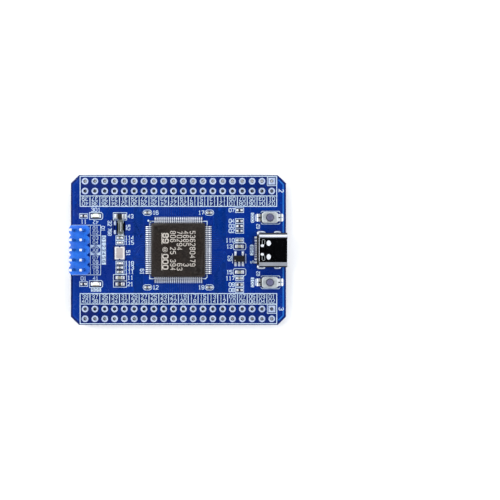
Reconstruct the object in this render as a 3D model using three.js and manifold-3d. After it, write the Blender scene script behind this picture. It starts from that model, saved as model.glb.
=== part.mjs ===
// A small microcontroller board: a blue circuit board with two double rows of header holes, a 100-lead
// chip in the middle, a USB-C socket and two push switches at the right, and a pin header at the left.
// Millimetres, +Z up. The origin is under the board's centre, at the tips of the header's solder tails.
import * as THREE from "three";
import { mergeVertices } from "three/addons/utils/BufferGeometryUtils.js";
import Module from "manifold-3d";

const wasm = await Module();
wasm.setup();

// Driving dimensions
const pitch = 2.54;
const columns = 20;
const innerRow = 6 * pitch;
const outerRow = 7 * pitch;
const boardLength = 55.6;
const boardWidth = 38.7;
const boardThickness = 1.6;
const socketOverhang = 0.3;
const headerOverhang = 0.1;
const cornerCut = 2.1;
const pinLength = 11.5;
const tailLength = 3;
const underside = tailLength - boardThickness;
const top = underside + boardThickness;
const holeRadius = 0.5;

const group = new THREE.Group();

// Materials, one for each finish
const finish = (color, roughness, metalness) =>
  new THREE.MeshStandardMaterial({ color, roughness, metalness });
const finishes = {
  board: finish(0x0b3a9c, 0.35, 0),
  moulding: finish(0x26221f, 0.6, 0),
  silicon: finish(0x55585e, 0.2, 0.6),
  tin: finish(0xc9ccd0, 0.3, 1),
  steel: finish(0xb9bcc0, 0.2, 1),
  gold: finish(0xd9b45a, 0.25, 1),
  blackPlastic: finish(0x141416, 0.5, 0),
  bluePlastic: finish(0x1f63e0, 0.45, 0),
  greyPlastic: finish(0x5a5c72, 0.5, 0),
  ceramic: finish(0xa89a84, 0.6, 0),
  resistor: finish(0x0d0d10, 0.4, 0),
  ferrite: finish(0x2c2c2c, 0.6, 0),
  lens: finish(0xf4f3e0, 0.3, 0),
};

// Geometry helpers
function block(x0, x1, y0, y1, z0, z1) {
  const geometry = new THREE.BoxGeometry(x1 - x0, y1 - y0, z1 - z0);
  return geometry.translate((x0 + x1) / 2, (y0 + y1) / 2, (z0 + z1) / 2);
}

function centredBlock(length, width, z0, z1) {
  return block(-length / 2, length / 2, -width / 2, width / 2, z0, z1);
}

function plate(shape, z0, z1, curveSegments = 5) {
  const geometry = new THREE.ExtrudeGeometry(shape, { depth: z1 - z0, bevelEnabled: false, curveSegments });
  return geometry.translate(0, 0, z0);
}

// An outline drawn in X and Z, given a width along Y and centred on Y = 0.
function strip(outline, width, curveSegments = 5) {
  return plate(outline, -width / 2, width / 2, curveSegments).rotateX(Math.PI / 2);
}

// An outline drawn in Y and Z, drawn out along X from x0 to x1.
function bar(outline, x0, x1, curveSegments = 5) {
  return plate(outline, x0, x1, curveSegments).rotateX(Math.PI / 2).rotateZ(Math.PI / 2);
}

// A profile of radius and height turned about Z.
function turned(points, segments) {
  const profile = points.map(([r, z]) => new THREE.Vector2(r, z));
  return new THREE.LatheGeometry(profile, segments).rotateX(Math.PI / 2);
}

function outline(points) {
  return new THREE.Shape(points.map(([x, y]) => new THREE.Vector2(x, y)));
}

function rectangle(length, width) {
  const [x, y] = [length / 2, width / 2];
  return outline([[-x, -y], [x, -y], [x, y], [-x, y]]);
}

function circle(radius, x = 0, y = 0) {
  return new THREE.Path().absarc(x, y, radius, 0, 2 * Math.PI);
}

// A slot with round ends, long along X.
function slot(length, width, x = 0, y = 0, Kind = THREE.Path) {
  const r = width / 2;
  const reach = length / 2 - r;
  const path = new Kind();
  path.absarc(x + reach, y, r, -Math.PI / 2, Math.PI / 2);
  path.absarc(x - reach, y, r, Math.PI / 2, (3 * Math.PI) / 2);
  path.closePath();
  return path;
}

function toSolid(geometry) {
  const bare = geometry.index ? geometry.toNonIndexed() : geometry.clone();
  bare.deleteAttribute("normal");
  bare.deleteAttribute("uv");
  const merged = mergeVertices(bare, 1e-4);
  const vertProperties = merged.attributes.position.array;
  const triVerts = new Uint32Array(merged.index.array);
  return new wasm.Manifold(new wasm.Mesh({ numProp: 3, vertProperties, triVerts }));
}

function toGeometry(solid) {
  const { vertProperties, triVerts } = solid.getMesh();
  const geometry = new THREE.BufferGeometry();
  geometry.setAttribute("position", new THREE.BufferAttribute(vertProperties, 3));
  geometry.setIndex(new THREE.BufferAttribute(triVerts, 1));
  geometry.computeVertexNormals();
  return geometry;
}

function join(...geometries) {
  return toGeometry(geometries.map(toSolid).reduce((a, b) => a.add(b)));
}

function cut(geometry, ...cutters) {
  return toGeometry(cutters.map(toSolid).reduce((a, b) => a.subtract(b), toSolid(geometry)));
}

function addPiece(name, geometry, material, x = 0, y = 0, z = top) {
  const mesh = new THREE.Mesh(geometry, material);
  mesh.name = name;
  mesh.position.set(x, y, z);
  group.add(mesh);
}

// A bent lead: from inside its package at height drop, out to shoulder, and down to a foot that ends at tip.
function gullWing({ inside, shoulder, heel, tip, drop, thickness, width }) {
  const slope = thickness * 0.7;
  const points = [
    [inside, drop],
    [shoulder - slope, drop],
    [heel - slope, 0],
    [tip, 0],
    [tip, thickness],
    [heel, thickness],
    [shoulder, drop + thickness],
    [inside, drop + thickness],
  ];
  return strip(outline(points), width);
}

// Circuit board
const usb = {
  rear: 20.8,
  mouth: boardLength / 2 + socketOverhang,
  width: 8.94,
  height: 3.16,
  wall: 0.3,
  legs: [
    { x: 21.4, length: 1.1, slot: 1.7 },
    { x: 25.6, length: 0.9, slot: 1.4 },
  ],
  legDepth: 1,
  slotWidth: 0.6,
};
usb.legOffset = (usb.width - usb.wall) / 2;

const header = {
  rows: 5,
  pinWidth: 0.64,
  tipTaper: 0.3,
  housingHeight: 2.54,
  notch: 0.7,
  x: pitch - boardLength / 2 - headerOverhang,
};

const pinPlaces = [];
for (let row = 0; row < header.rows; row += 1) {
  const y = (row - (header.rows - 1) / 2) * pitch;
  pinPlaces.push([header.x - pitch / 2, y], [header.x + pitch / 2, y]);
}

function boardOutline() {
  const [x, y] = [boardLength / 2, boardWidth / 2];
  return outline([
    [-x, cornerCut - y], [cornerCut - x, -y], [x - cornerCut, -y], [x, cornerCut - y],
    [x, y - cornerCut], [x - cornerCut, y], [cornerCut - x, y], [-x, y - cornerCut],
  ]);
}

function circuitBoard() {
  const shape = boardOutline();
  for (const y of [-outerRow, -innerRow, innerRow, outerRow]) {
    for (let column = 0; column < columns; column += 1) {
      shape.holes.push(circle(holeRadius, (column - (columns - 1) / 2) * pitch, y));
    }
  }
  for (const [x, y] of pinPlaces) {
    shape.holes.push(circle(holeRadius, x, y));
  }
  for (const leg of usb.legs) {
    for (const y of [-usb.legOffset, usb.legOffset]) {
      shape.holes.push(slot(leg.slot, usb.slotWidth, leg.x, y));
    }
  }
  return plate(shape, -boardThickness, 0, 4);
}

addPiece("circuit_board", circuitBoard(), finishes.board);

// Microcontroller: a square moulding with its lead frame and die inside
const chip = {
  body: 14,
  height: 1.4,
  standoff: 0.1,
  draft: 0.13,
  leads: 25,
  leadPitch: 0.5,
  leadWidth: 0.22,
  leadThickness: 0.15,
  leadPlane: 0.72,
  tip: 8,
  ringInside: 6,
  ringOutside: 6.95,
  paddle: 7,
  tieBar: 0.5,
  die: 5,
  dieHeight: 0.3,
};

// A square frustum whose sides are parallel to X and Y, as half-widths and heights.
function squareStack(levels) {
  return turned(levels.map(([half, z]) => [half * Math.SQRT2, z]), 4).rotateZ(Math.PI / 4);
}

function tieBars(z0, z1) {
  const reach = 2 * Math.SQRT2 * (chip.ringInside + 0.2);
  const bars = [1, -1].map((turn) =>
    centredBlock(reach, chip.tieBar, z0, z1).rotateZ((turn * Math.PI) / 4));
  return bars;
}

function leadFrame() {
  const [z0, z1] = [chip.leadPlane, chip.leadPlane + chip.leadThickness];
  const ring = rectangle(2 * chip.ringOutside, 2 * chip.ringOutside);
  ring.holes.push(rectangle(2 * chip.ringInside, 2 * chip.ringInside));
  const pieces = [plate(ring, z0, z1), centredBlock(chip.paddle, chip.paddle, z0, z1), ...tieBars(z0, z1)];
  const lead = gullWing({
    inside: chip.ringOutside - 0.2,
    shoulder: 7.35,
    heel: 7.6,
    tip: chip.tip,
    drop: z0,
    thickness: chip.leadThickness,
    width: chip.leadWidth,
  });
  for (let side = 0; side < 4; side += 1) {
    for (let i = 0; i < chip.leads; i += 1) {
      const along = (i - (chip.leads - 1) / 2) * chip.leadPitch;
      pieces.push(lead.clone().translate(0, along, 0).rotateZ((side * Math.PI) / 2));
    }
  }
  return join(...pieces);
}

function chipPackage() {
  const [z0, z1] = [chip.leadPlane, chip.leadPlane + chip.leadThickness];
  const half = chip.body / 2;
  const [low, high] = [chip.standoff, chip.standoff + chip.height];
  const body = squareStack([
    [0, low], [half - chip.draft, low], [half, z0], [half, z1], [half - chip.draft, high], [0, high],
  ]);
  const groove = rectangle(chip.body + 1, chip.body + 1);
  groove.holes.push(rectangle(2 * chip.ringInside, 2 * chip.ringInside));
  const dieRoom = centredBlock(chip.die, chip.die, z1, z1 + chip.dieHeight);
  const paddle = centredBlock(chip.paddle, chip.paddle, z0, z1);
  return cut(body, plate(groove, z0, z1), paddle, ...tieBars(z0, z1), dieRoom);
}

const diePlane = chip.leadPlane + chip.leadThickness;
addPiece("mcu_package", chipPackage(), finishes.moulding);
addPiece("mcu_lead_frame", leadFrame(), finishes.tin);
addPiece("mcu_die", centredBlock(chip.die, chip.die, diePlane, diePlane + chip.dieHeight), finishes.silicon);

// USB-C socket: a rolled shell, an insulator with its tongue, a middle plate and two rows of contacts
const contact = {
  places: [-3.2, -2.4, -1.75, -1.25, -0.75, -0.25, 0.25, 0.75, 1.25, 1.75, 2.4, 3.2],
  width: 0.24,
  thickness: 0.12,
  bend: 0.35,
  tail: 0.55,
  front: 26.5,
  combBar: 0.5,
};
const tongue = { front: 27, halfWidth: 3.35, thickness: 0.7, root: 22.4, midPlate: 0.15, nose: 0.3 };
tongue.middle = usb.height / 2;

function usbShell() {
  const section = slot(usb.width, usb.height, 0, usb.height / 2, THREE.Shape);
  section.holes.push(slot(usb.width - 2 * usb.wall, usb.height - 2 * usb.wall, 0, usb.height / 2));
  const pieces = [bar(section, usb.rear, usb.mouth, 8)];
  for (const leg of usb.legs) {
    for (const side of [-1, 1]) {
      const y = side * usb.legOffset;
      const [x0, x1] = [leg.x - leg.length / 2, leg.x + leg.length / 2];
      pieces.push(block(x0, x1, y - usb.wall / 2, y + usb.wall / 2, -usb.legDepth, usb.height / 2));
    }
  }
  return join(...pieces);
}

// One row of contacts, joined inside the insulator by a bar. level is the underside of its strips.
function contactRow(places, level) {
  const { thickness, width } = contact;
  const [x0, x1] = [usb.rear + 0.6, usb.rear + 0.6 + contact.combBar];
  const [first, last] = [Math.min(...places), Math.max(...places)];
  const pieces = [block(x0, x1, first - width / 2, last + width / 2, level, level + thickness)];
  const bend = usb.rear - contact.bend;
  const end = bend - contact.tail;
  const path = outline([
    [end, 0], [bend + thickness, 0], [bend + thickness, level], [contact.front, level],
    [contact.front, level + thickness], [bend, level + thickness], [bend, thickness], [end, thickness],
  ]);
  for (const y of places) {
    pieces.push(strip(path, width).translate(0, y, 0));
  }
  return join(...pieces);
}

function midPlate() {
  const half = tongue.midPlate / 2;
  const [z0, z1] = [tongue.middle - half, tongue.middle + half];
  return block(usb.rear + 1.3, tongue.front - tongue.nose, -tongue.halfWidth, tongue.halfWidth, z0, z1);
}

const everyOther = (first) => contact.places.filter((_, i) => i % 2 === first);
const upperRow = contactRow(everyOther(0), tongue.middle + tongue.thickness / 2);
const lowerRow = contactRow(everyOther(1), tongue.middle - tongue.thickness / 2 - contact.thickness);

function usbInsulator() {
  const clearance = 0.04;
  const inner = usb.wall + clearance;
  const section = slot(usb.width - 2 * inner, usb.height - 2 * inner, 0, usb.height / 2, THREE.Shape);
  const plug = bar(section, usb.rear + 0.15, tongue.root, 8);
  const half = tongue.thickness / 2;
  const [z0, z1] = [tongue.middle - half, tongue.middle + half];
  const blade = block(tongue.root - 0.5, tongue.front, -tongue.halfWidth, tongue.halfWidth, z0, z1);
  return cut(join(plug, blade), midPlate(), upperRow, lowerRow);
}

addPiece("usb_shell", usbShell(), finishes.steel);
addPiece("usb_insulator", usbInsulator(), finishes.blackPlastic);
addPiece("usb_mid_plate", midPlate(), finishes.steel);
addPiece("usb_contacts_upper", upperRow, finishes.gold);
addPiece("usb_contacts_lower", lowerRow, finishes.gold);

// Debug header: a notched housing with ten square pins pressed through it
function headerHousing() {
  const [x, y] = [pitch, (header.rows * pitch) / 2];
  const n = header.notch;
  const side = [[x - n, -y], [x, -y + n]];
  for (let row = 1; row < header.rows; row += 1) {
    const middle = -y + row * pitch;
    side.push([x, middle - n], [x - n, middle], [x, middle + n]);
  }
  side.push([x, y - n], [x - n, y]);
  const shape = outline([...side, ...side.map(([a, b]) => [-a, -b])]);
  const posts = pinPlaces.map(([px, py]) =>
    centredBlock(header.pinWidth, header.pinWidth, -1, header.housingHeight + 1)
      .translate(px - header.x, py, 0));
  return cut(plate(shape, 0, header.housingHeight), ...posts);
}

function headerPin() {
  const half = header.pinWidth / 2;
  const tip = half / 2;
  return squareStack([
    [0, -tailLength],
    [tip, -tailLength],
    [half, header.tipTaper - tailLength],
    [half, pinLength - tailLength - header.tipTaper],
    [tip, pinLength - tailLength],
    [0, pinLength - tailLength],
  ]);
}

addPiece("debug_header_housing", headerHousing(), finishes.bluePlastic, header.x, 0);
pinPlaces.forEach(([x, y], i) => addPiece(`debug_header_pin_${i + 1}`, headerPin(), finishes.tin, x, y));

// Push switches: base with its two terminals, snap dome, plunger and folded metal cover
const push = {
  x: 23.65,
  y: 8.35,
  length: 4.2,
  width: 3,
  sheet: 0.15,
  floor: 0.5,
  wallTop: 1.12,
  pocketRadius: 1.28,
  domeRadius: 1.25,
  domeRise: 0.3,
  domeThickness: 0.06,
  flangeRadius: 1.16,
  flangeThickness: 0.22,
  stemRadius: 0.85,
  coverHole: 0.92,
  height: 2,
  flapDepth: 0.85,
  terminalLength: 0.9,
  terminalWidth: 1.8,
};

function switchBase() {
  const inner = push.width - 2 * push.sheet;
  const body = centredBlock(push.length, inner, 0, push.wallTop);
  const pocket = plate(new THREE.Shape().absarc(0, 0, push.pocketRadius, 0, 2 * Math.PI), push.floor, 2, 10);
  const reach = push.length + 2 * push.terminalLength;
  return join(cut(body, pocket), centredBlock(reach, push.terminalWidth, 0, push.sheet));
}

function switchDome() {
  const steps = 4;
  const t = push.domeThickness;
  const curve = (inset) => {
    const points = [];
    for (let i = 0; i <= steps; i += 1) {
      const r = (push.domeRadius * i) / steps;
      const rise = push.domeRise * Math.cos((Math.PI / 2) * (i / steps));
      points.push([r, push.floor + rise + (inset ? 0 : t)]);
    }
    return points;
  };
  return turned([...curve(true), ...curve(false).reverse()], 16);
}

function switchPlunger() {
  const seat = push.floor + push.domeRise + push.domeThickness + 0.01;
  const shoulder = seat + push.flangeThickness;
  const edge = 0.12;
  return turned([
    [0, seat],
    [push.flangeRadius, seat],
    [push.flangeRadius, shoulder],
    [push.stemRadius, shoulder],
    [push.stemRadius, push.height - edge],
    [push.stemRadius - edge, push.height],
    [0, push.height],
  ], 20);
}

function switchCover() {
  const [z0, z1] = [push.wallTop, push.wallTop + push.sheet];
  const shape = rectangle(push.length, push.width);
  shape.holes.push(circle(push.coverHole));
  const flaps = [-1, 1].map((side) => {
    const y = (side * (push.width - push.sheet)) / 2;
    const [y0, y1] = [y - push.sheet / 2, y + push.sheet / 2];
    return block(-push.length / 2, push.length / 2, y0, y1, z1 - push.flapDepth, z1);
  });
  return join(plate(shape, z0, z1, 10), ...flaps);
}

for (const [name, y] of [["boot", push.y], ["reset", -push.y]]) {
  addPiece(`${name}_switch_base`, switchBase(), finishes.blackPlastic, push.x, y);
  addPiece(`${name}_switch_dome`, switchDome(), finishes.steel, push.x, y);
  addPiece(`${name}_switch_plunger`, switchPlunger(), finishes.greyPlastic, push.x, y);
  addPiece(`${name}_switch_cover`, switchCover(), finishes.steel, push.x, y);
}

// Regulator: a small moulding round one comb of five leads
const regulator = {
  x: 15.7, y: -2.25, length: 2.9, width: 1.6, height: 1.1, standoff: 0.05,
  leadPitch: 0.95, leadWidth: 0.4, leadThickness: 0.15, leadPlane: 0.5, tip: 1.4,
};

function regulatorLeads() {
  const { leadPlane, leadThickness, leadPitch } = regulator;
  const lead = gullWing({
    inside: 0.2, shoulder: 1.02, heel: 1.14, tip: regulator.tip,
    drop: leadPlane, thickness: leadThickness, width: regulator.leadWidth,
  });
  const pieces = [centredBlock(2.2, 0.6, leadPlane, leadPlane + leadThickness)];
  for (const x of [-leadPitch, 0, leadPitch]) {
    pieces.push(lead.clone().rotateZ(-Math.PI / 2).translate(x, 0, 0));
  }
  for (const x of [-leadPitch, leadPitch]) {
    pieces.push(lead.clone().rotateZ(Math.PI / 2).translate(x, 0, 0));
  }
  return join(...pieces);
}

function regulatorBody() {
  const body = centredBlock(regulator.length, regulator.width, regulator.standoff, regulator.height);
  return cut(body, regulatorLeads());
}

addPiece("regulator_body", regulatorBody(), finishes.moulding, regulator.x, regulator.y);
addPiece("regulator_leads", regulatorLeads(), finishes.tin, regulator.x, regulator.y);

// Crystals
const mainCrystal = {
  x: -15.15, y: -0.8, length: 2.5, width: 3.2, caseHeight: 0.45, lidHeight: 0.25, lidInset: 0.35,
};
const clockCrystal = { x: -14.9, y: 5.95, length: 1.25, width: 3.5, height: 0.9 };

function mainCrystalLid() {
  const { length, width, lidInset, caseHeight, lidHeight } = mainCrystal;
  return centredBlock(length - 2 * lidInset, width - 2 * lidInset, caseHeight, caseHeight + lidHeight);
}

addPiece(
  "main_crystal_case", centredBlock(mainCrystal.length, mainCrystal.width, 0, mainCrystal.caseHeight),
  finishes.ceramic, mainCrystal.x, mainCrystal.y);
addPiece("main_crystal_lid", mainCrystalLid(), finishes.steel, mainCrystal.x, mainCrystal.y);
addPiece(
  "clock_crystal", centredBlock(clockCrystal.length, clockCrystal.width, 0, clockCrystal.height),
  finishes.ceramic, clockCrystal.x, clockCrystal.y);

// Light-emitting diodes: a flat base with terminals and a moulded lens on it
const led = { length: 2, width: 1.25, base: 0.35, lensLength: 1.3, height: 0.8, x: -21.3, y: 8.8 };

function ledBody() {
  const lens = centredBlock(led.lensLength, led.width, led.base / 2, led.height);
  return join(centredBlock(led.length, led.width, 0, led.base), lens);
}

addPiece("user_led", ledBody(), finishes.lens, led.x, led.y);
addPiece("power_led", ledBody(), finishes.lens, led.x, -led.y);

// Chip resistors, capacitors, the bead and the diode: a body between two end caps
const chipSizes = {
  smallResistor: { length: 1, width: 0.5, height: 0.35, cap: 0.25, finish: finishes.resistor },
  smallCapacitor: { length: 1, width: 0.5, height: 0.5, cap: 0.25, finish: finishes.ceramic },
  capacitor: { length: 1.6, width: 0.8, height: 0.8, cap: 0.35, finish: finishes.ceramic },
  bead: { length: 1.6, width: 0.8, height: 0.8, cap: 0.35, finish: finishes.ferrite },
};
const [leftColumn, rightColumn, ledResistors] = [-15.1, 15.8, -24.5];
const [cornerX, cornerY] = [8, 9.65];
const chips = [
  ["user_led_resistor", "smallResistor", ledResistors, led.y],
  ["power_led_resistor", "smallResistor", ledResistors, -led.y],
  ["boot_resistor", "smallResistor", rightColumn, 10.3],
  ["usb_pull_up_resistor", "smallResistor", rightColumn, 7.5],
  ["usb_data_resistor_1", "smallResistor", rightColumn, 6.2],
  ["usb_data_resistor_2", "smallResistor", rightColumn, 4.95],
  ["usb_filter_capacitor", "smallCapacitor", rightColumn, 2.5],
  ["regulator_input_capacitor", "capacitor", rightColumn, 0.92],
  ["regulator_output_capacitor", "capacitor", rightColumn, -5.72],
  ["regulator_filter_capacitor", "smallCapacitor", rightColumn, -7.3],
  ["reset_resistor", "smallResistor", rightColumn, -8.93],
  ["boot_select_resistor", "smallResistor", rightColumn, -10.35],
  ["decoupling_capacitor_1", "smallCapacitor", -cornerX, cornerY],
  ["decoupling_capacitor_2", "smallCapacitor", cornerX, cornerY],
  ["decoupling_capacitor_3", "smallCapacitor", -cornerX, -cornerY],
  ["decoupling_capacitor_4", "smallCapacitor", cornerX, -cornerY],
  ["clock_crystal_capacitor", "smallCapacitor", leftColumn, 3.15],
  ["main_crystal_capacitor_1", "smallCapacitor", leftColumn, 1.9],
  ["main_crystal_capacitor_2", "smallCapacitor", leftColumn, -3.42],
  ["analog_filter_capacitor_1", "smallCapacitor", leftColumn, -4.54],
  ["analog_filter_capacitor_2", "smallCapacitor", leftColumn, -5.65],
  ["analog_supply_capacitor", "capacitor", leftColumn, -7.15],
  ["analog_supply_bead", "bead", leftColumn, -8.8],
];

function chipBody({ length, width, height, cap }) {
  const step = 0.03;
  const [x, waist] = [length / 2, length / 2 - cap];
  return strip(outline([
    [-x, 0], [-waist, 0], [-waist, step], [waist, step], [waist, 0], [x, 0],
    [x, height], [waist, height], [waist, height - step],
    [-waist, height - step], [-waist, height], [-x, height],
  ]), width);
}

// The diode is a moulded block with a flat lead at each end.
const diode = {
  x: leftColumn, y: 8.7, length: 2.5, bodyLength: 1.6, width: 1.2, height: 0.9, leadWidth: 0.5, lead: 0.12,
};

function diodeBody() {
  const body = centredBlock(diode.bodyLength, diode.width, 0, diode.height);
  return join(body, centredBlock(diode.length, diode.leadWidth, 0, diode.lead));
}

addPiece("backup_supply_diode", diodeBody(), finishes.moulding, diode.x, diode.y);

for (const [name, kind, x, y] of chips) {
  addPiece(name, chipBody(chipSizes[kind]), chipSizes[kind].finish, x, y);
}

export default group;
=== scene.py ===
import math

import bmesh
import bpy
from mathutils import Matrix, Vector


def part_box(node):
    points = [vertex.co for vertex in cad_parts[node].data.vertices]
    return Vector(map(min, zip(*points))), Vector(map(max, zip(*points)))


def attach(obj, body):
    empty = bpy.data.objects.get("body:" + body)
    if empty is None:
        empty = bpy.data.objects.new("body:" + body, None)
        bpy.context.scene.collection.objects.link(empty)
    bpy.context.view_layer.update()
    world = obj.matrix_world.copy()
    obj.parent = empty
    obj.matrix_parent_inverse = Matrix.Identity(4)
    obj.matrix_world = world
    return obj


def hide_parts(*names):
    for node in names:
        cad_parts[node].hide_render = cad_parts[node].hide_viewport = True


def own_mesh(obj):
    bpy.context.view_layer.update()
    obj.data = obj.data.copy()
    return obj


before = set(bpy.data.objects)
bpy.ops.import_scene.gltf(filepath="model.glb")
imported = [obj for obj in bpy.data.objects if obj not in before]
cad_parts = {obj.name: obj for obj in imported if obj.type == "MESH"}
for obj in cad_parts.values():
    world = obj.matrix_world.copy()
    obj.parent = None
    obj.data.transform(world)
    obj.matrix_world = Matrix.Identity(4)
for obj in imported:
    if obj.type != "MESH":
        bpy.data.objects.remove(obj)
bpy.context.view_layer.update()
mm = 0.001
print("frame loaded:", len(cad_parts), "nodes")


# Measuring the frame
def nodeBox(node):
    low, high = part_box(node)
    return low / mm, high / mm


def nodeCentre(node):
    low, high = nodeBox(node)
    return (low.x + high.x) / 2, (low.y + high.y) / 2


def nodeSize(node):
    low, high = nodeBox(node)
    return high - low


boardLow, boardHigh = nodeBox("circuit_board")
boardTop = boardHigh.z
boardUnder = boardLow.z
halfLength = boardHigh.x
halfWidth = boardHigh.y


# Outlines, as lists of (x, y) that run anticlockwise
def arcPoints(x, y, radius, start, end, steps):
    turns = [start + (end - start) * i / steps for i in range(steps + 1)]
    return [(x + radius * math.cos(math.pi * t), y + radius * math.sin(math.pi * t)) for t in turns]


def circleOutline(radius, x=0, y=0, steps=24):
    return arcPoints(x, y, radius, 0, 2, steps)[:-1]


def roundedOutline(length, width, radius, x=0, y=0, steps=4):
    points = []
    for signX, signY, start in ((1, 1, 0), (-1, 1, 0.5), (-1, -1, 1), (1, -1, 1.5)):
        cornerX = x + signX * (length / 2 - radius)
        cornerY = y + signY * (width / 2 - radius)
        points += arcPoints(cornerX, cornerY, radius, start, start + 0.5, steps)
    return points


def capsuleOutline(length, width, x=0, y=0, steps=6):
    return roundedOutline(length, width, min(length, width) * 0.4999, x, y, steps)


def boxOutline(length, width, x=0, y=0):
    a, b = length / 2, width / 2
    return [(x - a, y - b), (x + a, y - b), (x + a, y + b), (x - a, y + b)]


def chamferedOutline(length, width, cut, x=0, y=0):
    return roundedOutline(length, width, cut, x, y, steps=1)


def sideNormals(points, closed):
    count = len(points)
    normals = []
    for i in range(count if closed else count - 1):
        (x0, y0), (x1, y1) = points[i], points[(i + 1) % count]
        size = math.hypot(x1 - x0, y1 - y0) or 1
        normals.append(((y0 - y1) / size, (x1 - x0) / size))
    return normals


# Moves a line or outline to its left by a distance, with mitred corners.
def offsetLine(points, distance, closed):
    normals = sideNormals(points, closed)
    moved = []
    for i, (x, y) in enumerate(points):
        after = normals[i] if i < len(normals) else normals[-1]
        before = normals[i - 1] if i or closed else after
        spread = max(0.35, 1 + before[0] * after[0] + before[1] * after[1])
        moved.append((x + (before[0] + after[0]) * distance / spread,
                      y + (before[1] + after[1]) * distance / spread))
    return moved


def roundCorners(points, radius, steps=3):
    result = [points[0]]
    for before, here, after in zip(points, points[1:], points[2:]):
        arms = [Vector(before) - Vector(here), Vector(after) - Vector(here)]
        reach = min(radius, arms[0].length / 2, arms[1].length / 2)
        start = Vector(here) + arms[0].normalized() * reach
        end = Vector(here) + arms[1].normalized() * reach
        for i in range(steps + 1):
            t = i / steps
            point = start * (1 - t) ** 2 + Vector(here) * 2 * t * (1 - t) + end * t ** 2
            result.append(tuple(point))
    return result + [points[-1]]


# Solids, each a pair of points and faces
def stack(layers, looped=False):
    count = len(layers[0])
    points = [point for layer in layers for point in layer]
    faces = []
    for level in range(len(layers) if looped else len(layers) - 1):
        a = level * count
        b = (level + 1) % len(layers) * count
        faces += [[a + i, a + (i + 1) % count, b + (i + 1) % count, b + i] for i in range(count)]
    if not looped:
        faces.append(list(range(count))[::-1])
        faces.append([len(points) - count + i for i in range(count)])
    return points, faces


def level(outline, z):
    return [(x, y, z) for x, y in outline]


def slab(outline, low, high, edge=0.0):
    layers = [level(outline, low), level(outline, high - edge)]
    if edge:
        layers.append(level(offsetLine(outline, edge * 0.3, True), high - edge * 0.3))
        layers.append(level(offsetLine(outline, edge, True), high))
    return stack(layers)


def ring(outer, inner, low, high):
    return stack([level(outer, low), level(outer, high), level(inner, high), level(inner, low)], looped=True)


def turned(profile, steps=24, x=0, y=0):
    return stack([level(circleOutline(max(radius, 0.001), x, y, steps), z) for radius, z in profile])


# A flat strip along a line, such as a stroke of ink or a copper track
def ribbon(points, width, low, high, closed=False):
    left = offsetLine(points, width / 2, closed)
    right = offsetLine(points, -width / 2, closed)
    layers = [[(*a, low), (*b, low), (*b, high), (*a, high)] for a, b in zip(left, right)]
    return stack(layers, looped=closed)


# A strip bent in X and Z, such as a lead, with its width along Y
def bentStrip(path, thickness, width):
    upper = offsetLine(path, thickness / 2, False)
    lower = offsetLine(path, -thickness / 2, False)
    half = width / 2
    layers = []
    for (ux, uz), (lx, lz) in zip(upper, lower):
        layers.append([(lx, -half, lz), (lx, half, lz), (ux, half, uz), (ux, -half, uz)])
    return stack(layers)


def roundedBlock(length, width, low, high, radius, segments=2):
    mesh = bmesh.new()
    bmesh.ops.create_cube(mesh, size=1)
    for vert in mesh.verts:
        vert.co = Vector((vert.co.x * length, vert.co.y * width, (low + high) / 2 + vert.co.z * (high - low)))
    bmesh.ops.bevel(mesh, geom=mesh.edges[:], offset=radius, segments=segments, affect="EDGES", profile=0.5)
    mesh.verts.index_update()
    solid = [tuple(vert.co) for vert in mesh.verts], [[vert.index for vert in face.verts] for face in mesh.faces]
    mesh.free()
    return solid


# A flat plate with round or slotted holes, filled by a temporary curve
def perforated(outline, holes, low, high):
    curve = bpy.data.curves.new("plateCurve", "CURVE")
    curve.dimensions = "2D"
    curve.fill_mode = "BOTH"
    curve.extrude = (high - low) / 2
    for loop in [outline, *holes]:
        spline = curve.splines.new("POLY")
        spline.points.add(len(loop) - 1)
        for point, (x, y) in zip(spline.points, loop):
            point.co = (x, y, 0, 1)
        spline.use_cyclic_u = True
    plate = bpy.data.objects.new("plateCurve", curve)
    bpy.context.scene.collection.objects.link(plate)
    bpy.context.view_layer.update()
    flat = bpy.data.meshes.new_from_object(plate.evaluated_get(bpy.context.evaluated_depsgraph_get()))
    middle = (low + high) / 2
    solid = [(v.co.x, v.co.y, v.co.z + middle) for v in flat.vertices], [list(f.vertices) for f in flat.polygons]
    bpy.data.objects.remove(plate)
    bpy.data.curves.remove(curve)
    bpy.data.meshes.remove(flat)
    return solid


def placed(solid, x=0, y=0, z=0, turn=0):
    points, faces = solid
    c, s = math.cos(math.pi * turn), math.sin(math.pi * turn)
    return [(x + c * px - s * py, y + s * px + c * py, z + pz) for px, py, pz in points], faces


def makePiece(name, solids, finish, body="board", standsFor=(), rounding=0.0, smooth=38):
    points = []
    faces = []
    for solidPoints, solidFaces in solids:
        start = len(points)
        points += solidPoints
        faces += [[start + i for i in face] for face in solidFaces]
    mesh = bpy.data.meshes.new(name)
    mesh.from_pydata([(x * mm, y * mm, z * mm) for x, y, z in points], [], faces)
    work = bmesh.new()
    work.from_mesh(mesh)
    bmesh.ops.remove_doubles(work, verts=work.verts, dist=1e-7)
    bmesh.ops.recalc_face_normals(work, faces=work.faces)
    work.to_mesh(mesh)
    work.free()
    mesh.shade_smooth()
    mesh.set_sharp_from_angle(angle=math.radians(smooth))
    mesh.materials.append(finishes[finish])
    piece = bpy.data.objects.new(name, mesh)
    bpy.context.scene.collection.objects.link(piece)
    if rounding:
        bevel = piece.modifiers.new("rounding", "BEVEL")
        bevel.width = rounding * mm
        bevel.segments = 2
        bevel.limit_method = "ANGLE"
        bevel.angle_limit = math.radians(35)
        bevel.harden_normals = False
    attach(piece, body)
    if standsFor:
        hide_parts(*standsFor)
    return piece


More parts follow.
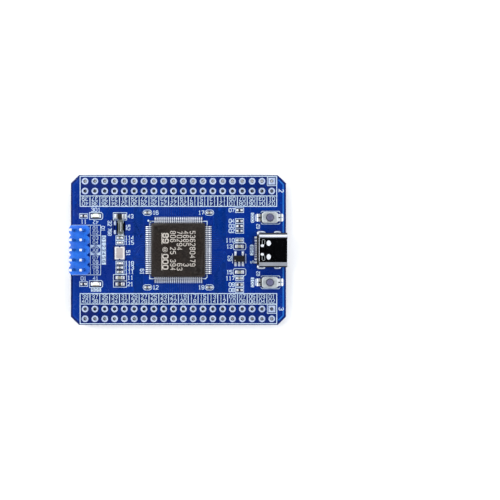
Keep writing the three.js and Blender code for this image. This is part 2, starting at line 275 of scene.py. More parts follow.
# Shader node groups that several finishes share
def nodeGroup(name, inputs, outputs):
    tree = bpy.data.node_groups.new(name, "ShaderNodeTree")
    for label, kind, value in inputs:
        socket = tree.interface.new_socket(label, in_out="INPUT", socket_type="NodeSocket" + kind)
        if value is not None:
            socket.default_value = value
    for label, kind in outputs:
        tree.interface.new_socket(label, in_out="OUTPUT", socket_type="NodeSocket" + kind)
    return tree, tree.nodes.new("NodeGroupInput").outputs, tree.nodes.new("NodeGroupOutput").inputs


def mathNode(tree, operation, first, second=None):
    node = tree.nodes.new("ShaderNodeMath")
    node.operation = operation
    for socket, value in zip(node.inputs, (first, second)):
        if isinstance(value, (int, float)):
            socket.default_value = value
        elif value is not None:
            tree.links.new(value, socket)
    return node.outputs[0]


def noiseNode(tree, vector, scale, detail=3.0, roughness=0.55):
    node = tree.nodes.new("ShaderNodeTexNoise")
    node.inputs["Detail"].default_value = detail
    node.inputs["Roughness"].default_value = roughness
    tree.links.new(vector, node.inputs["Vector"])
    if isinstance(scale, (int, float)):
        node.inputs["Scale"].default_value = scale
    else:
        tree.links.new(scale, node.inputs["Scale"])
    return node.outputs["Fac"]


def spread(tree, value, low, high, newLow=0.0, newHigh=1.0):
    node = tree.nodes.new("ShaderNodeMapRange")
    for socket, number in zip(node.inputs, (None, low, high, newLow, newHigh)):
        if isinstance(number, (int, float)):
            socket.default_value = number
        elif number is not None:
            tree.links.new(number, socket)
    tree.links.new(value, node.inputs["Value"])
    return node.outputs["Result"]


def mixColour(tree, factor, first, second):
    node = tree.nodes.new("ShaderNodeMix")
    node.data_type = "RGBA"
    for socket, value in zip((node.inputs[0], node.inputs[6], node.inputs[7]), (factor, first, second)):
        if isinstance(value, (int, float, tuple)):
            socket.default_value = value
        else:
            tree.links.new(value, socket)
    return node.outputs[2]


def scaledVector(tree, vector, scale):
    node = tree.nodes.new("ShaderNodeMapping")
    node.inputs["Scale"].default_value = scale
    tree.links.new(vector, node.inputs["Vector"])
    return node.outputs[0]


def patchyColourGroup():
    tree, inputs, outputs = nodeGroup(
        "patchyColour",
        [("Vector", "Vector", None), ("Colour", "Color", (0.5, 0.5, 0.5, 1)),
         ("Other Colour", "Color", (0.4, 0.4, 0.4, 1)),
         ("Patch Scale", "Float", 400.0), ("Speck Scale", "Float", 6000.0), ("Speck Amount", "Float", 0.3)],
        [("Colour", "Color"), ("Patches", "Float")])
    patches = spread(tree, noiseNode(tree, inputs["Vector"], inputs["Patch Scale"]), 0.35, 0.65)
    specks = spread(tree, noiseNode(tree, inputs["Vector"], inputs["Speck Scale"], 2), 0.55, 0.72)
    blend = mathNode(tree, "MAXIMUM", mathNode(tree, "MULTIPLY", patches, 0.8),
                     mathNode(tree, "MULTIPLY", specks, inputs["Speck Amount"]))
    tree.links.new(mixColour(tree, blend, inputs["Colour"], inputs["Other Colour"]), outputs["Colour"])
    tree.links.new(patches, outputs["Patches"])
    return tree


def fineGrainGroup():
    tree, inputs, outputs = nodeGroup(
        "fineGrain",
        [("Vector", "Vector", None), ("Grain Scale", "Float", 9000.0), ("Swell Scale", "Float", 700.0),
         ("Swell", "Float", 0.5), ("Roughness Low", "Float", 0.3), ("Roughness High", "Float", 0.5)],
        [("Height", "Float"), ("Roughness", "Float")])
    grain = noiseNode(tree, inputs["Vector"], inputs["Grain Scale"], 4, 0.6)
    swell = noiseNode(tree, inputs["Vector"], inputs["Swell Scale"], 2)
    height = mathNode(tree, "ADD", grain, mathNode(tree, "MULTIPLY", swell, inputs["Swell"]))
    tree.links.new(height, outputs["Height"])
    smudge = noiseNode(tree, inputs["Vector"], 260.0, 5, 0.7)
    tree.links.new(spread(tree, smudge, 0.32, 0.68, inputs["Roughness Low"], inputs["Roughness High"]),
                   outputs["Roughness"])
    return tree


def edgeWearGroup():
    tree, inputs, outputs = nodeGroup(
        "edgeWear",
        [("Vector", "Vector", None), ("Colour", "Color", (0.5, 0.5, 0.5, 1)),
         ("Worn Colour", "Color", (0.8, 0.8, 0.8, 1)),
         ("Amount", "Float", 0.5), ("Break Up Scale", "Float", 2500.0)],
        [("Colour", "Color"), ("Wear", "Float")])
    geometry = tree.nodes.new("ShaderNodeNewGeometry")
    ridge = spread(tree, geometry.outputs["Pointiness"], 0.51, 0.6)
    breakUp = spread(tree, noiseNode(tree, inputs["Vector"], inputs["Break Up Scale"], 4, 0.7), 0.4, 0.62)
    wear = mathNode(tree, "MULTIPLY", mathNode(tree, "MULTIPLY", ridge, breakUp), inputs["Amount"])
    tree.links.new(mixColour(tree, wear, inputs["Colour"], inputs["Worn Colour"]), outputs["Colour"])
    tree.links.new(wear, outputs["Wear"])
    return tree


def dustFilmGroup():
    tree, inputs, outputs = nodeGroup(
        "dustFilm",
        [("Vector", "Vector", None), ("Colour", "Color", (0.5, 0.5, 0.5, 1)), ("Dust", "Float", 0.1)],
        [("Colour", "Color"), ("Dust", "Float")])
    geometry = tree.nodes.new("ShaderNodeNewGeometry")
    split = tree.nodes.new("ShaderNodeSeparateXYZ")
    tree.links.new(geometry.outputs["Normal"], split.inputs[0])
    facingUp = spread(tree, split.outputs["Z"], 0.2, 0.9)
    flecks = spread(tree, noiseNode(tree, inputs["Vector"], 3200.0, 6, 0.75), 0.52, 0.8)
    film = mathNode(tree, "MULTIPLY", mathNode(tree, "MULTIPLY", facingUp, flecks), inputs["Dust"])
    tree.links.new(mixColour(tree, film, inputs["Colour"], (0.62, 0.6, 0.56, 1)), outputs["Colour"])
    tree.links.new(film, outputs["Dust"])
    return tree


# Glass cloth under the mask, one thread every half millimetre or so
def clothWeaveGroup():
    tree, inputs, outputs = nodeGroup(
        "clothWeave", [("Vector", "Vector", None), ("Thread Scale", "Float", 320.0)], [("Height", "Float")])
    threads = []
    for direction in ("X", "Y"):
        wave = tree.nodes.new("ShaderNodeTexWave")
        wave.bands_direction = direction
        wave.inputs["Distortion"].default_value = 0.6
        tree.links.new(inputs["Vector"], wave.inputs["Vector"])
        tree.links.new(inputs["Thread Scale"], wave.inputs["Scale"])
        threads.append(wave.outputs["Fac"])
    tree.links.new(mathNode(tree, "MULTIPLY", threads[0], threads[1]), outputs["Height"])
    return tree


# Drawn or brushed metal: noise pulled out along one direction
def drawnMetalGroup():
    tree, inputs, outputs = nodeGroup(
        "drawnMetal", [("Vector", "Vector", None), ("Line Scale", "Float", 2600.0)],
        [("Height", "Float"), ("Roughness Shift", "Float")])
    lines = noiseNode(tree, scaledVector(tree, inputs["Vector"], (0.06, 1, 1)), inputs["Line Scale"], 4, 0.7)
    tree.links.new(lines, outputs["Height"])
    tree.links.new(spread(tree, lines, 0.3, 0.7, -0.06, 0.08), outputs["Roughness Shift"])
    return tree


groups = {
    "patchyColour": patchyColourGroup(),
    "fineGrain": fineGrainGroup(),
    "edgeWear": edgeWearGroup(),
    "dustFilm": dustFilmGroup(),
    "clothWeave": clothWeaveGroup(),
    "drawnMetal": drawnMetalGroup(),
}
print("node groups built:", ", ".join(groups))


def paint(red, green, blue):
    linear = [((c / 255 + 0.055) / 1.055) ** 2.4 if c > 10 else c / 255 / 12.92 for c in (red, green, blue)]
    return (*linear, 1.0)


def groupNode(tree, name, vector, **values):
    node = tree.nodes.new("ShaderNodeGroup")
    node.node_tree = groups[name]
    tree.links.new(vector, node.inputs["Vector"])
    for label, value in values.items():
        socket = node.inputs[label.replace("_", " ")]
        if isinstance(value, (int, float, tuple)):
            socket.default_value = value
        else:
            tree.links.new(value, socket)
    return node.outputs


# One finish from its look: colours, patches, grain, wear and dust, with the shader itself kept in the material
def makeFinish(name, look):
    material = bpy.data.materials.new(name)
    material.use_nodes = True
    tree = material.node_tree
    shader = tree.nodes["Principled BSDF"]
    vector = tree.nodes.new("ShaderNodeTexCoord").outputs["Object"]
    colour = groupNode(
        tree, "patchyColour", vector, Colour=paint(*look["colour"]), Other_Colour=paint(*look["otherColour"]),
        Patch_Scale=look.get("patchScale", 400.0), Speck_Scale=look.get("speckScale", 6000.0),
        Speck_Amount=look.get("specks", 0.2))["Colour"]
    grain = groupNode(
        tree, "fineGrain", vector, Grain_Scale=look.get("grainScale", 9000.0),
        Swell_Scale=look.get("swellScale", 700.0), Swell=look.get("swell", 0.5),
        Roughness_Low=look["roughness"][0], Roughness_High=look["roughness"][1])
    height = grain["Height"]
    roughness = grain["Roughness"]
    if "lines" in look:
        drawn = groupNode(tree, "drawnMetal", vector, Line_Scale=look["lines"])
        height = mathNode(tree, "ADD", height, drawn["Height"])
        roughness = mathNode(tree, "ADD", roughness, drawn["Roughness Shift"])
    if "weave" in look:
        cloth = groupNode(tree, "clothWeave", vector, Thread_Scale=look["weave"])
        height = mathNode(tree, "ADD", mathNode(tree, "MULTIPLY", height, 0.5), cloth["Height"])
    if "wear" in look:
        worn = groupNode(tree, "edgeWear", vector, Colour=colour, Worn_Colour=paint(*look["wornColour"]),
                         Amount=look["wear"])
        colour = worn["Colour"]
    if "dust" in look:
        dusty = groupNode(tree, "dustFilm", vector, Colour=colour, Dust=look["dust"])
        colour = dusty["Colour"]
        roughness = mathNode(tree, "ADD", roughness, mathNode(tree, "MULTIPLY", dusty["Dust"], 0.4))
    bump = tree.nodes.new("ShaderNodeBump")
    bump.inputs["Strength"].default_value = look.get("bump", 0.3)
    bump.inputs["Distance"].default_value = look.get("depth", 0.008) * mm
    tree.links.new(height, bump.inputs["Height"])
    tree.links.new(colour, shader.inputs["Base Color"])
    tree.links.new(roughness, shader.inputs["Roughness"])
    tree.links.new(bump.outputs["Normal"], shader.inputs["Normal"])
    shader.inputs["Metallic"].default_value = look.get("metal", 0.0)
    shader.inputs["IOR"].default_value = look.get("ior", 1.5)
    shader.inputs["Coat Weight"].default_value = look.get("coat", 0.0)
    shader.inputs["Coat Roughness"].default_value = look.get("coatRoughness", 0.1)
    shader.inputs["Specular IOR Level"].default_value = look.get("specular", 0.5)
    shader.inputs["Subsurface Weight"].default_value = look.get("glow", 0.0)
    shader.inputs["Subsurface Scale"].default_value = look.get("glowDepth", 0.3) * mm
    return material


looks = {
    "maskOverCopper": {"colour": (0, 44, 128), "otherColour": (0, 32, 114), "specular": 0.3,
                       "patchScale": 120.0, "specks": 0.1,
                       "roughness": (0.2, 0.34), "weave": 320.0, "depth": 0.004, "bump": 0.2, "coat": 0.2,
                       "swell": 0.8, "dust": 0.02},
    "maskOverLaminate": {"colour": (2, 24, 88), "otherColour": (4, 34, 104), "specular": 0.3,
                         "patchScale": 180.0, "specks": 0.1,
                         "roughness": (0.24, 0.38), "weave": 320.0, "depth": 0.006, "bump": 0.3, "coat": 0.15,
                         "dust": 0.02},
    "maskOverTrace": {"colour": (3, 56, 148), "otherColour": (2, 46, 132), "patchScale": 160.0,
                      "roughness": (0.2, 0.32), "depth": 0.004, "coat": 0.2},
    # Lighter copy of the trace blue, for the right-hand rim line only: a painted sheen
    "maskRimLineSheen": {"colour": (36, 100, 182), "otherColour": (24, 84, 164), "patchScale": 160.0,
                    "roughness": (0.2, 0.32), "depth": 0.004, "coat": 0.2},
    "laminateEdge": {"colour": (88, 104, 112), "otherColour": (104, 112, 104), "patchScale": 2400.0, "specks": 0.3,
                     "roughness": (0.55, 0.8), "depth": 0.02, "bump": 0.6, "lines": 1800.0},
    "ink": {"colour": (196, 214, 228), "otherColour": (158, 182, 208), "patchScale": 1500.0, "specks": 0.35,
            "roughness": (0.45, 0.65), "depth": 0.005, "bump": 0.5, "grainScale": 14000.0},
    "tinPad": {"colour": (184, 198, 223), "otherColour": (156, 172, 202), "patchScale": 900.0, "metal": 0.35,
               "roughness": (0.4, 0.58), "depth": 0.01, "bump": 0.35, "swell": 1.2},
    # Barrel tin darkened to near black: painted shade inside the plated holes
    "barrelTinPaintedShade": {"colour": (38, 42, 52), "otherColour": (26, 28, 36), "patchScale": 900.0, "metal": 0.6,
                  "roughness": (0.5, 0.7), "depth": 0.01},
    "solder": {"colour": (222, 226, 231), "otherColour": (190, 195, 202), "patchScale": 1400.0, "metal": 0.8,
               "roughness": (0.26, 0.44), "depth": 0.012, "bump": 0.35, "swell": 1.5, "swellScale": 1600.0},
    "tinnedLead": {"colour": (206, 210, 217), "otherColour": (182, 187, 196), "patchScale": 800.0, "metal": 0.5,
                   "roughness": (0.3, 0.45), "lines": 3000.0, "depth": 0.006, "bump": 0.3},
    "sheetSteel": {"colour": (164, 167, 175), "otherColour": (146, 149, 158), "patchScale": 240.0, "metal": 1.0,
                   "roughness": (0.06, 0.12), "depth": 0.0012, "bump": 0.08, "swell": 1.5},
    # Near-white steel for the pressed dimples and crimps: a painted highlight
    "dimpleHighlightSteel": {"colour": (236, 240, 246), "otherColour": (220, 224, 232), "patchScale": 900.0, "metal": 0.4,
                    "roughness": (0.4, 0.5), "depth": 0.004},
    "pinShank": {"colour": (186, 190, 198), "otherColour": (170, 174, 184), "patchScale": 800.0, "metal": 1.0,
                 "roughness": (0.05, 0.1), "depth": 0.0005, "bump": 0.1},
    # Near-white finish for the pin ends and the clock crystal's bead: a lighter copy of the pin metal, a painted
    # highlight
    "tipHighlightMetal": {"colour": (246, 249, 253), "otherColour": (230, 236, 246), "patchScale": 1600.0, "metal": 0.4,
               "roughness": (0.35, 0.5), "depth": 0.006},
    "coverSteel": {"colour": (214, 220, 223), "otherColour": (184, 192, 197), "patchScale": 420.0, "metal": 0.8,
                   "roughness": (0.36, 0.5), "lines": 2600.0, "depth": 0.004, "bump": 0.3},
    "goldPlate": {"colour": (222, 184, 104), "otherColour": (198, 156, 82), "patchScale": 700.0, "metal": 1.0,
                  "roughness": (0.18, 0.3), "depth": 0.004, "lines": 2600.0},
    "chipMoulding": {"colour": (24, 18, 15), "otherColour": (16, 12, 10), "patchScale": 500.0, "specks": 0.4,
                     "speckScale": 9000.0, "roughness": (0.3, 0.42), "depth": 0.006, "bump": 0.4,
                     "grainScale": 16000.0,
                     "specular": 0.3, "dust": 0.02, "wear": 0.25, "wornColour": (74, 66, 60)},
    "chipMark": {"colour": (198, 192, 184), "otherColour": (150, 144, 138), "patchScale": 2600.0, "specks": 0.5,
                 "roughness": (0.6, 0.8), "depth": 0.01, "bump": 0.6},
    "blackPlastic": {"colour": (14, 14, 16), "otherColour": (24, 24, 27), "patchScale": 600.0,
                     "specks": 0.4, "specular": 0.3,
                     "roughness": (0.36, 0.52), "depth": 0.01, "bump": 0.35},
    "bluePlastic": {"colour": (18, 108, 220), "otherColour": (10, 88, 198), "patchScale": 300.0, "specks": 0.2,
                    "roughness": (0.34, 0.5), "depth": 0.008, "bump": 0.3, "swell": 1.0, "glow": 0.1, "dust": 0.02,
                    "wear": 0.25, "wornColour": (110, 164, 244)},
    "buttonPlastic": {"colour": (92, 92, 122), "otherColour": (76, 76, 104), "patchScale": 900.0,
                      "roughness": (0.3, 0.46), "depth": 0.01, "bump": 0.4, "swell": 1.0},
    "crystalRim": {"colour": (236, 234, 234), "otherColour": (216, 214, 214), "patchScale": 900.0, "metal": 0.2,
                   "roughness": (0.35, 0.5), "depth": 0.01, "bump": 0.4},
    "crystalLid": {"colour": (196, 188, 188), "otherColour": (172, 164, 164), "patchScale": 500.0, "metal": 0.5,
                   "roughness": (0.34, 0.5), "lines": 2000.0, "depth": 0.004},
    "clockCan": {"colour": (96, 102, 98), "otherColour": (74, 80, 76), "patchScale": 500.0, "metal": 0.6,
                 "roughness": (0.3, 0.45), "lines": 2000.0, "depth": 0.004},
    "dieMetal": {"colour": (120, 122, 130), "otherColour": (100, 102, 112), "patchScale": 500.0, "metal": 1.0,
                 "roughness": (0.15, 0.3), "depth": 0.002},
    "paleCeramic": {"colour": (224, 222, 216), "otherColour": (204, 200, 192), "patchScale": 1100.0, "specks": 0.4,
                    "roughness": (0.4, 0.6), "depth": 0.01, "bump": 0.4},
    "capacitorCeramic": {"colour": (132, 134, 122), "otherColour": (110, 112, 102), "patchScale": 1100.0,
                         "specks": 0.5,
                         "roughness": (0.45, 0.62), "depth": 0.012, "bump": 0.5},
    "resistorGlaze": {"colour": (22, 22, 26), "otherColour": (36, 36, 42), "patchScale": 1000.0,
                      "roughness": (0.25, 0.4), "depth": 0.008, "bump": 0.4},
    "ferriteCeramic": {"colour": (52, 50, 50), "otherColour": (38, 37, 38), "patchScale": 1200.0, "specks": 0.6,
                       "roughness": (0.5, 0.72), "depth": 0.02, "bump": 0.6},
    "ledResin": {"colour": (246, 248, 246), "otherColour": (232, 236, 232), "patchScale": 900.0,
                 "roughness": (0.25, 0.4), "depth": 0.006, "glow": 0.3, "glowDepth": 0.4, "coat": 0.1},
    "ledBase": {"colour": (118, 118, 98), "otherColour": (92, 94, 78), "patchScale": 900.0,
                "roughness": (0.4, 0.55), "depth": 0.01},
}
finishes = {name: makeFinish(name, look) for name, look in looks.items()}
print("finishes built:", len(finishes))


# Small solids that many parts share
def sideSlab(outline, width):
    half = width / 2
    return stack([[(x, -half, z) for x, z in outline], [(x, half, z) for x, z in outline]])


# A hollow-faced wedge of solder that runs out along X from a metal end
def solderWedge(reach, height, width, steps=4):
    curve = [(reach * (1 - i / steps), height * (i / steps) ** 2) for i in range(steps + 1)]
    return sideSlab([(-0.05, 0), *curve, (-0.05, height)], width)


digitLines = {
    "0": [[(1, 0), (3, 0), (4, 1), (4, 5), (3, 6), (1, 6), (0, 5), (0, 1), (1, 0)]],
    "1": [[(0.8, 4.8), (2, 6), (2, 0)], [(0.8, 0), (3.2, 0)]],
    "2": [[(0, 5), (1, 6), (3, 6), (4, 5), (4, 4), (0, 0), (4, 0)]],
    "3": [[(0, 5), (1, 6), (3, 6), (4, 5), (4, 4), (3, 3), (1.4, 3)],
          [(3, 3), (4, 2), (4, 1), (3, 0), (1, 0), (0, 1)]],
    "4": [[(3, 0), (3, 6), (0, 2), (4, 2)]],
    "5": [[(4, 6), (0, 6), (0, 3.5), (3, 3.5), (4, 2.5), (4, 1), (3, 0), (1, 0), (0, 1)]],
    "6": [[(4, 5), (3, 6), (1, 6), (0, 5), (0, 1), (1, 0), (3, 0), (4, 1), (4, 2.4), (3, 3.4), (0, 3.4)]],
    "7": [[(0, 6), (4, 6), (1.5, 0)]],
    "8": [[(1, 3), (0, 4), (0, 5), (1, 6), (3, 6), (4, 5), (4, 4), (3, 3), (1, 3)],
          [(1, 3), (0, 2), (0, 1), (1, 0), (3, 0), (4, 1), (4, 2), (3, 3)]],
    "9": [[(0, 1), (1, 0), (3, 0), (4, 1), (4, 5), (3, 6), (1, 6), (0, 5), (0, 3.6), (1, 2.6), (4, 2.6)]],
}


# Plain numbers as strokes of ink, centred on (x, y); turn is in half turns
def inkNumber(text, x, y, height, weight, low, high, turn=0.0, wide=0.62, step=0.82):
    solids = []
    for place, digit in enumerate(text):
        if digit == " ":
            continue
        left = (place - (len(text) - 1) / 2) * height * step - height * wide / 2
        for line in digitLines[digit]:
            points = [(left + px / 4 * height * wide, (py / 6 - 0.5) * height) for px, py in line]
            solids.append(placed(ribbon(points, weight, low, high), x, y, 0, turn))
    return solids


def frameLine(outline, weight, low, high):
    return ribbon(outline, weight, low, high, closed=True)


# Turned over about X, for what sits on the underside
def turnedUnder(solid):
    points, faces = solid
    return [(x, -y, boardTop + boardUnder - z) for x, y, z in points], faces


# Circuit board
board = {
    "pitch": 2.54,
    "columns": 20,
    "rows": (15.24, 17.78),
    "holeRadius": 0.5,
    "padRadius": 0.86,
    "plating": 0.04,
    "padHeight": 0.03,
    "maskThickness": 0.04,
    "copperHeight": 0.018,
    "inkHeight": 0.014,
    "inkWeight": 0.2,
    "cornerCut": 2.1,
    "rim": 0.42,
    "frameReach": 25.4,
    "padZone": (13.97, 19.05),
    "labelZone": (11.27, 13.97),
    "traceWidth": 0.17,
    "traceGap": 0.4,
}
copperTop = boardTop + board["copperHeight"]
inkLow = copperTop - 0.004
inkHigh = copperTop + board["inkHeight"]
columnPlaces = [(i - (board["columns"] - 1) / 2) * board["pitch"] for i in range(board["columns"])]
headerHoles = [(x, side * y) for x in columnPlaces for y in board["rows"] for side in (-1, 1)]
squarePads = [(columnPlaces[-1], board["rows"][1]), (columnPlaces[-1], -board["rows"][0])]
pinHoles = [nodeCentre(f"debug_header_pin_{i + 1}") for i in range(10)]

usbLow, usbHigh = nodeBox("usb_shell")
usbWidth = usbHigh.y - usbLow.y
usbMiddle = (boardTop + usbHigh.z) / 2
legOffset = (usbWidth - 0.3) / 2
legSlots = [(x, side * legOffset, length) for x, length in ((usbLow.x + 0.6, 1.7), (usbLow.x + 4.8, 1.4))
            for side in (-1, 1)]


def boardOutline(inset=0.0):
    outline = chamferedOutline(2 * halfLength, 2 * halfWidth, board["cornerCut"])
    return offsetLine(outline, inset, True) if inset else outline


allHoles = [circleOutline(board["holeRadius"], x, y, 20) for x, y in headerHoles + pinHoles]
allHoles += [capsuleOutline(length, 0.6, x, y, 4) for x, y, length in legSlots]

# Small parts: the size of the ink box round each, and its number and where that stands
chipBoxes = {}
for node, kind, text, side in (
        ("user_led_resistor", "resistor", "11", "below"), ("power_led_resistor", "resistor", "01", "above"),
        ("boot_resistor", "resistor", "07", "left"), ("usb_pull_up_resistor", "resistor", "04", "left"),
        ("usb_data_resistor_1", "resistor", "03", "left"), ("usb_data_resistor_2", "resistor", "02", "left"),
        ("usb_filter_capacitor", "capacitor", "110", "left"), ("regulator_input_capacitor", "large", "13", "left"),
        ("regulator_output_capacitor", "large", "15", "left"),
        ("regulator_filter_capacitor", "capacitor", "117", "left"),
        ("reset_resistor", "resistor", "09", "left"), ("boot_select_resistor", "resistor", "08", "left"),
        ("decoupling_capacitor_1", "corner", "16", "right"), ("decoupling_capacitor_2", "corner", "17", "left"),
        ("decoupling_capacitor_3", "corner", "12", "right"), ("decoupling_capacitor_4", "corner", "19", "left"),
        ("backup_supply_diode", "diode", "43", "right"), ("clock_crystal_capacitor", "capacitor", "114", "right"),
        ("main_crystal_capacitor_1", "capacitor", "115", "right"),
        ("main_crystal_capacitor_2", "capacitor", "118", "right"),
        ("analog_filter_capacitor_1", "capacitor", "113", "right"),
        ("analog_filter_capacitor_2", "capacitor", "111", "right"),
        ("analog_supply_capacitor", "wide", "11", "right"), ("analog_supply_bead", "wide", "21", "right")):
    chipBoxes[node] = (kind, text, side)
boxSizes = {"resistor": (2.1, 1.2), "capacitor": (2.1, 1.1), "large": (3.3, 1.8), "corner": (2.25, 1.36),
            "diode": (3.46, 1.9), "wide": (3.4, 1.6)}


def clearances():
    areas = [boxOutline(*boxSizes[kind], *nodeCentre(node)) for node, (kind, *_) in chipBoxes.items()]
    for turn in (0, 1):
        for side in (-1, 1):
            sizes = (12.9, 1.75) if turn else (1.75, 12.9)
            places = (0, side * 7.95) if turn else (side * 7.95, 0)
            areas.append(boxOutline(*sizes, *places))
    for node in ("user_led", "power_led"):
        areas.append(boxOutline(3.2, 1.6, *nodeCentre(node)))
    for node in ("boot_switch_cover", "reset_switch_cover"):
        x, y = nodeCentre(node)
        areas.append(boxOutline(7.0, 1.9, x + 0.05, y))
    areas.append(boxOutline(3.1, 3.9, *nodeCentre("regulator_body")))
    areas.append(boxOutline(1.7, 7.1, 19.95, 0))
    areas.append(boxOutline(3.5, 4.0, *nodeCentre("main_crystal_case")))
    areas.append(boxOutline(2.2, 4.6, *nodeCentre("clock_crystal")))
    areas.append(boxOutline(1.0, 4.2, -16.9, 5.9))
    areas += [capsuleOutline(length + 0.9, 1.5, x, y, 4) for x, y, length in legSlots]
    return areas


def pourOutline():
    x, y = halfLength - board["rim"], halfWidth - board["rim"]
    edge, cut, zone = board["frameReach"] + 0.1, board["cornerCut"], board["labelZone"][0]
    meet = y - (cut - (x - edge))
    lower = [(-x, cut - y), (-edge, -meet), (-edge, -zone), (edge, -zone), (edge, -meet), (x, cut - y)]
    return lower + [(-px, -py) for px, py in lower]


def buildBoard():
    mask = board["maskThickness"]
    core = perforated(boardOutline(), allHoles, boardUnder + mask, boardTop - mask)
    makePiece("board_laminate", [core], "laminateEdge", standsFor=("circuit_board",))
    upper = perforated(boardOutline(), allHoles, boardTop - mask, boardTop)
    lower = perforated(boardOutline(), allHoles, boardUnder, boardUnder + mask)
    makePiece("board_mask", [upper, lower], "maskOverLaminate")
    pour = perforated(pourOutline(), clearances() + [circleOutline(1.0, x, y, 16) for x, y in pinHoles],
                      boardTop - 0.002, copperTop)
    makePiece("board_copper_pour", [pour], "maskOverCopper")
    rims = []
    for side in (-1, 1):
        far = side * (halfLength - 0.72)
        near, turn = far - side * 1.2, halfWidth - 2.4
        line = [(near, side * (turn + 1.2)), (far, side * turn), (far, -side * turn), (near, -side * (turn + 1.2))]
        rims.append(ribbon(line, 0.34, copperTop - 0.004, copperTop + 0.004))
    # The right-hand rim line takes a lighter copy of the trace blue: a painted sheen along that edge
    makePiece("board_rim_line_1", rims[:1], "maskOverTrace")
    makePiece("board_rim_line_2_sheen", rims[1:], "maskRimLineSheen")
    openings = [circleOutline(1.0, x, y, 16) for x, y in pinHoles]
    openings += [capsuleOutline(length + 0.9, 1.5, x, y, 4) for x, y, length in legSlots]
    makePiece("board_copper_pour_under",
              [turnedUnder(perforated(pourOutline(), openings, boardTop - 0.002, copperTop))],
              "maskOverCopper")


def platedHole(x, y, radius, steps=20):
    height, wall = board["padHeight"], board["plating"]
    hole = board["holeRadius"]
    layers = []
    for r, z in ((radius, boardTop - 0.01), (radius, boardTop + height), (hole - wall, boardTop + height),
                 (hole - wall, boardUnder - height), (radius, boardUnder - height), (radius, boardUnder + 0.01),
                 (hole + 0.01, boardUnder + 0.01), (hole + 0.01, boardTop - 0.01)):
        layers.append(level(circleOutline(r, x, y, steps), z))
    return stack(layers, looped=True)


def buildPads():
    rings = [platedHole(x, y, board["padRadius"]) for x, y in headerHoles + pinHoles]
    side = 2 * board["padRadius"]
    for x, y in squarePads:
        hole = [circleOutline(board["holeRadius"], x, y, 20)]
        plate = perforated(boxOutline(side, side, x, y), hole, boardTop - 0.01,
                           boardTop + board["padHeight"] - 0.002)
        rings += [plate, turnedUnder((placed(plate, 0, -2 * y)))]
    makePiece("header_hole_pads", rings, "tinPad")
    # Plated barrels inside the holes, coloured dark as painted shade for the hole interiors
    inner = board["holeRadius"] - board["plating"]
    sleeves = [ring(circleOutline(inner + 0.01, x, y, 20), circleOutline(inner - 0.08, x, y, 20),
                    boardUnder, boardTop - 0.02)
               for x, y in headerHoles + pinHoles]
    makePiece("header_hole_sleeves_painted_shade", sleeves, "barrelTinPaintedShade")
    slots = []
    for x, y, length in legSlots:
        outer = capsuleOutline(length + 0.6, 1.15, x, y)
        inner = capsuleOutline(length - 0.06, 0.54, x, y)
        slots.append(ring(outer, inner, boardTop - 0.01, boardTop + board["padHeight"]))
        slots.append(ring(outer, inner, boardUnder - board["padHeight"], boardUnder + 0.01))
    makePiece("socket_leg_pads", slots, "tinPad")


# Tracks: straight runs out from the chip, stacked side by side, with a dark gap each side
def chipTracks():
    tracks = []
    edge = board["labelZone"][0] - 0.15
    leads = [(i - 12) * 0.5 for i in range(25)]
    for i, along in enumerate(leads):
        tracks.append([(along, 8.6), (along, edge)])
        tracks.append([(along, -8.6), (along, -edge)])
    for i, along in enumerate(leads):
        side = 1 if along > 0 else -1
        rank = 12 - abs(i - 12)
        reach = 9.1 + 0.3 * rank
        if along == 0:
            continue
        bend = 0.35
        tracks.append([(8.6, along), (reach - bend, along), (reach, along + side * bend), (reach, side * edge)])
        if rank < 9:
            tracks.append([(-8.6, along), (bend - reach, along), (-reach, along + side * bend),
                           (-reach, side * edge)])
    return tracks


def crystalTracks():
    clock, main = nodeCentre("clock_crystal"), nodeCentre("main_crystal_case")
    tracks = []
    for offset in (-1.5, 1.5):
        y = clock[1] + offset
        tracks.append([(-8.6, 3.6 + offset * 0.17), (-9.4, 3.6 + offset * 0.17), (clock[0] + 3.2, y),
                       (clock[0] + 0.9, y)])
    for offset in (-1.1, 1.1):
        y = main[1] + offset
        tracks.append([(-8.6, 1.2 + offset * 0.23), (-9.6, 1.2 + offset * 0.23), (-11.4, y), (main[0] + 1.2, y)])
    tracks.append([(-26.2, 12.6), (-26.2, 9.4), (-25.5, 8.8)])
    tracks.append([(-20.2, 8.8), (-18.6, 8.8), (-17.9, 10.6), (-17.9, 11.1)])
    tracks.append([(-20.2, -8.8), (-18.8, -8.8), (-18, -10.4), (-18, -11.1)])
    return tracks


def supplyTracks():
    tracks = []
    for y in (-10.3, -8.9, 7.5, 10.3):
        tracks.append([(14.6, y), (12.9, y)])
    for node in ("boot_switch_cover", "reset_switch_cover"):
        x, y = nodeCentre(node)
        side = math.copysign(1, y)
        tracks.append([(x - 3.5, y), (x - 4.3, y), (x - 5, y + side * 0.7), (x - 5, side * 11.1)])
    return tracks


def padTracks():
    tracks = []
    for x in columnPlaces[1:-1]:
        for side in (-1, 1):
            middle = x + board["pitch"] / 2
            tracks.append([(middle, side * 14.1), (middle, side * 16.0), (middle - 0.5, side * 16.6),
                           (x + 0.45, side * 17.2)])
    return tracks


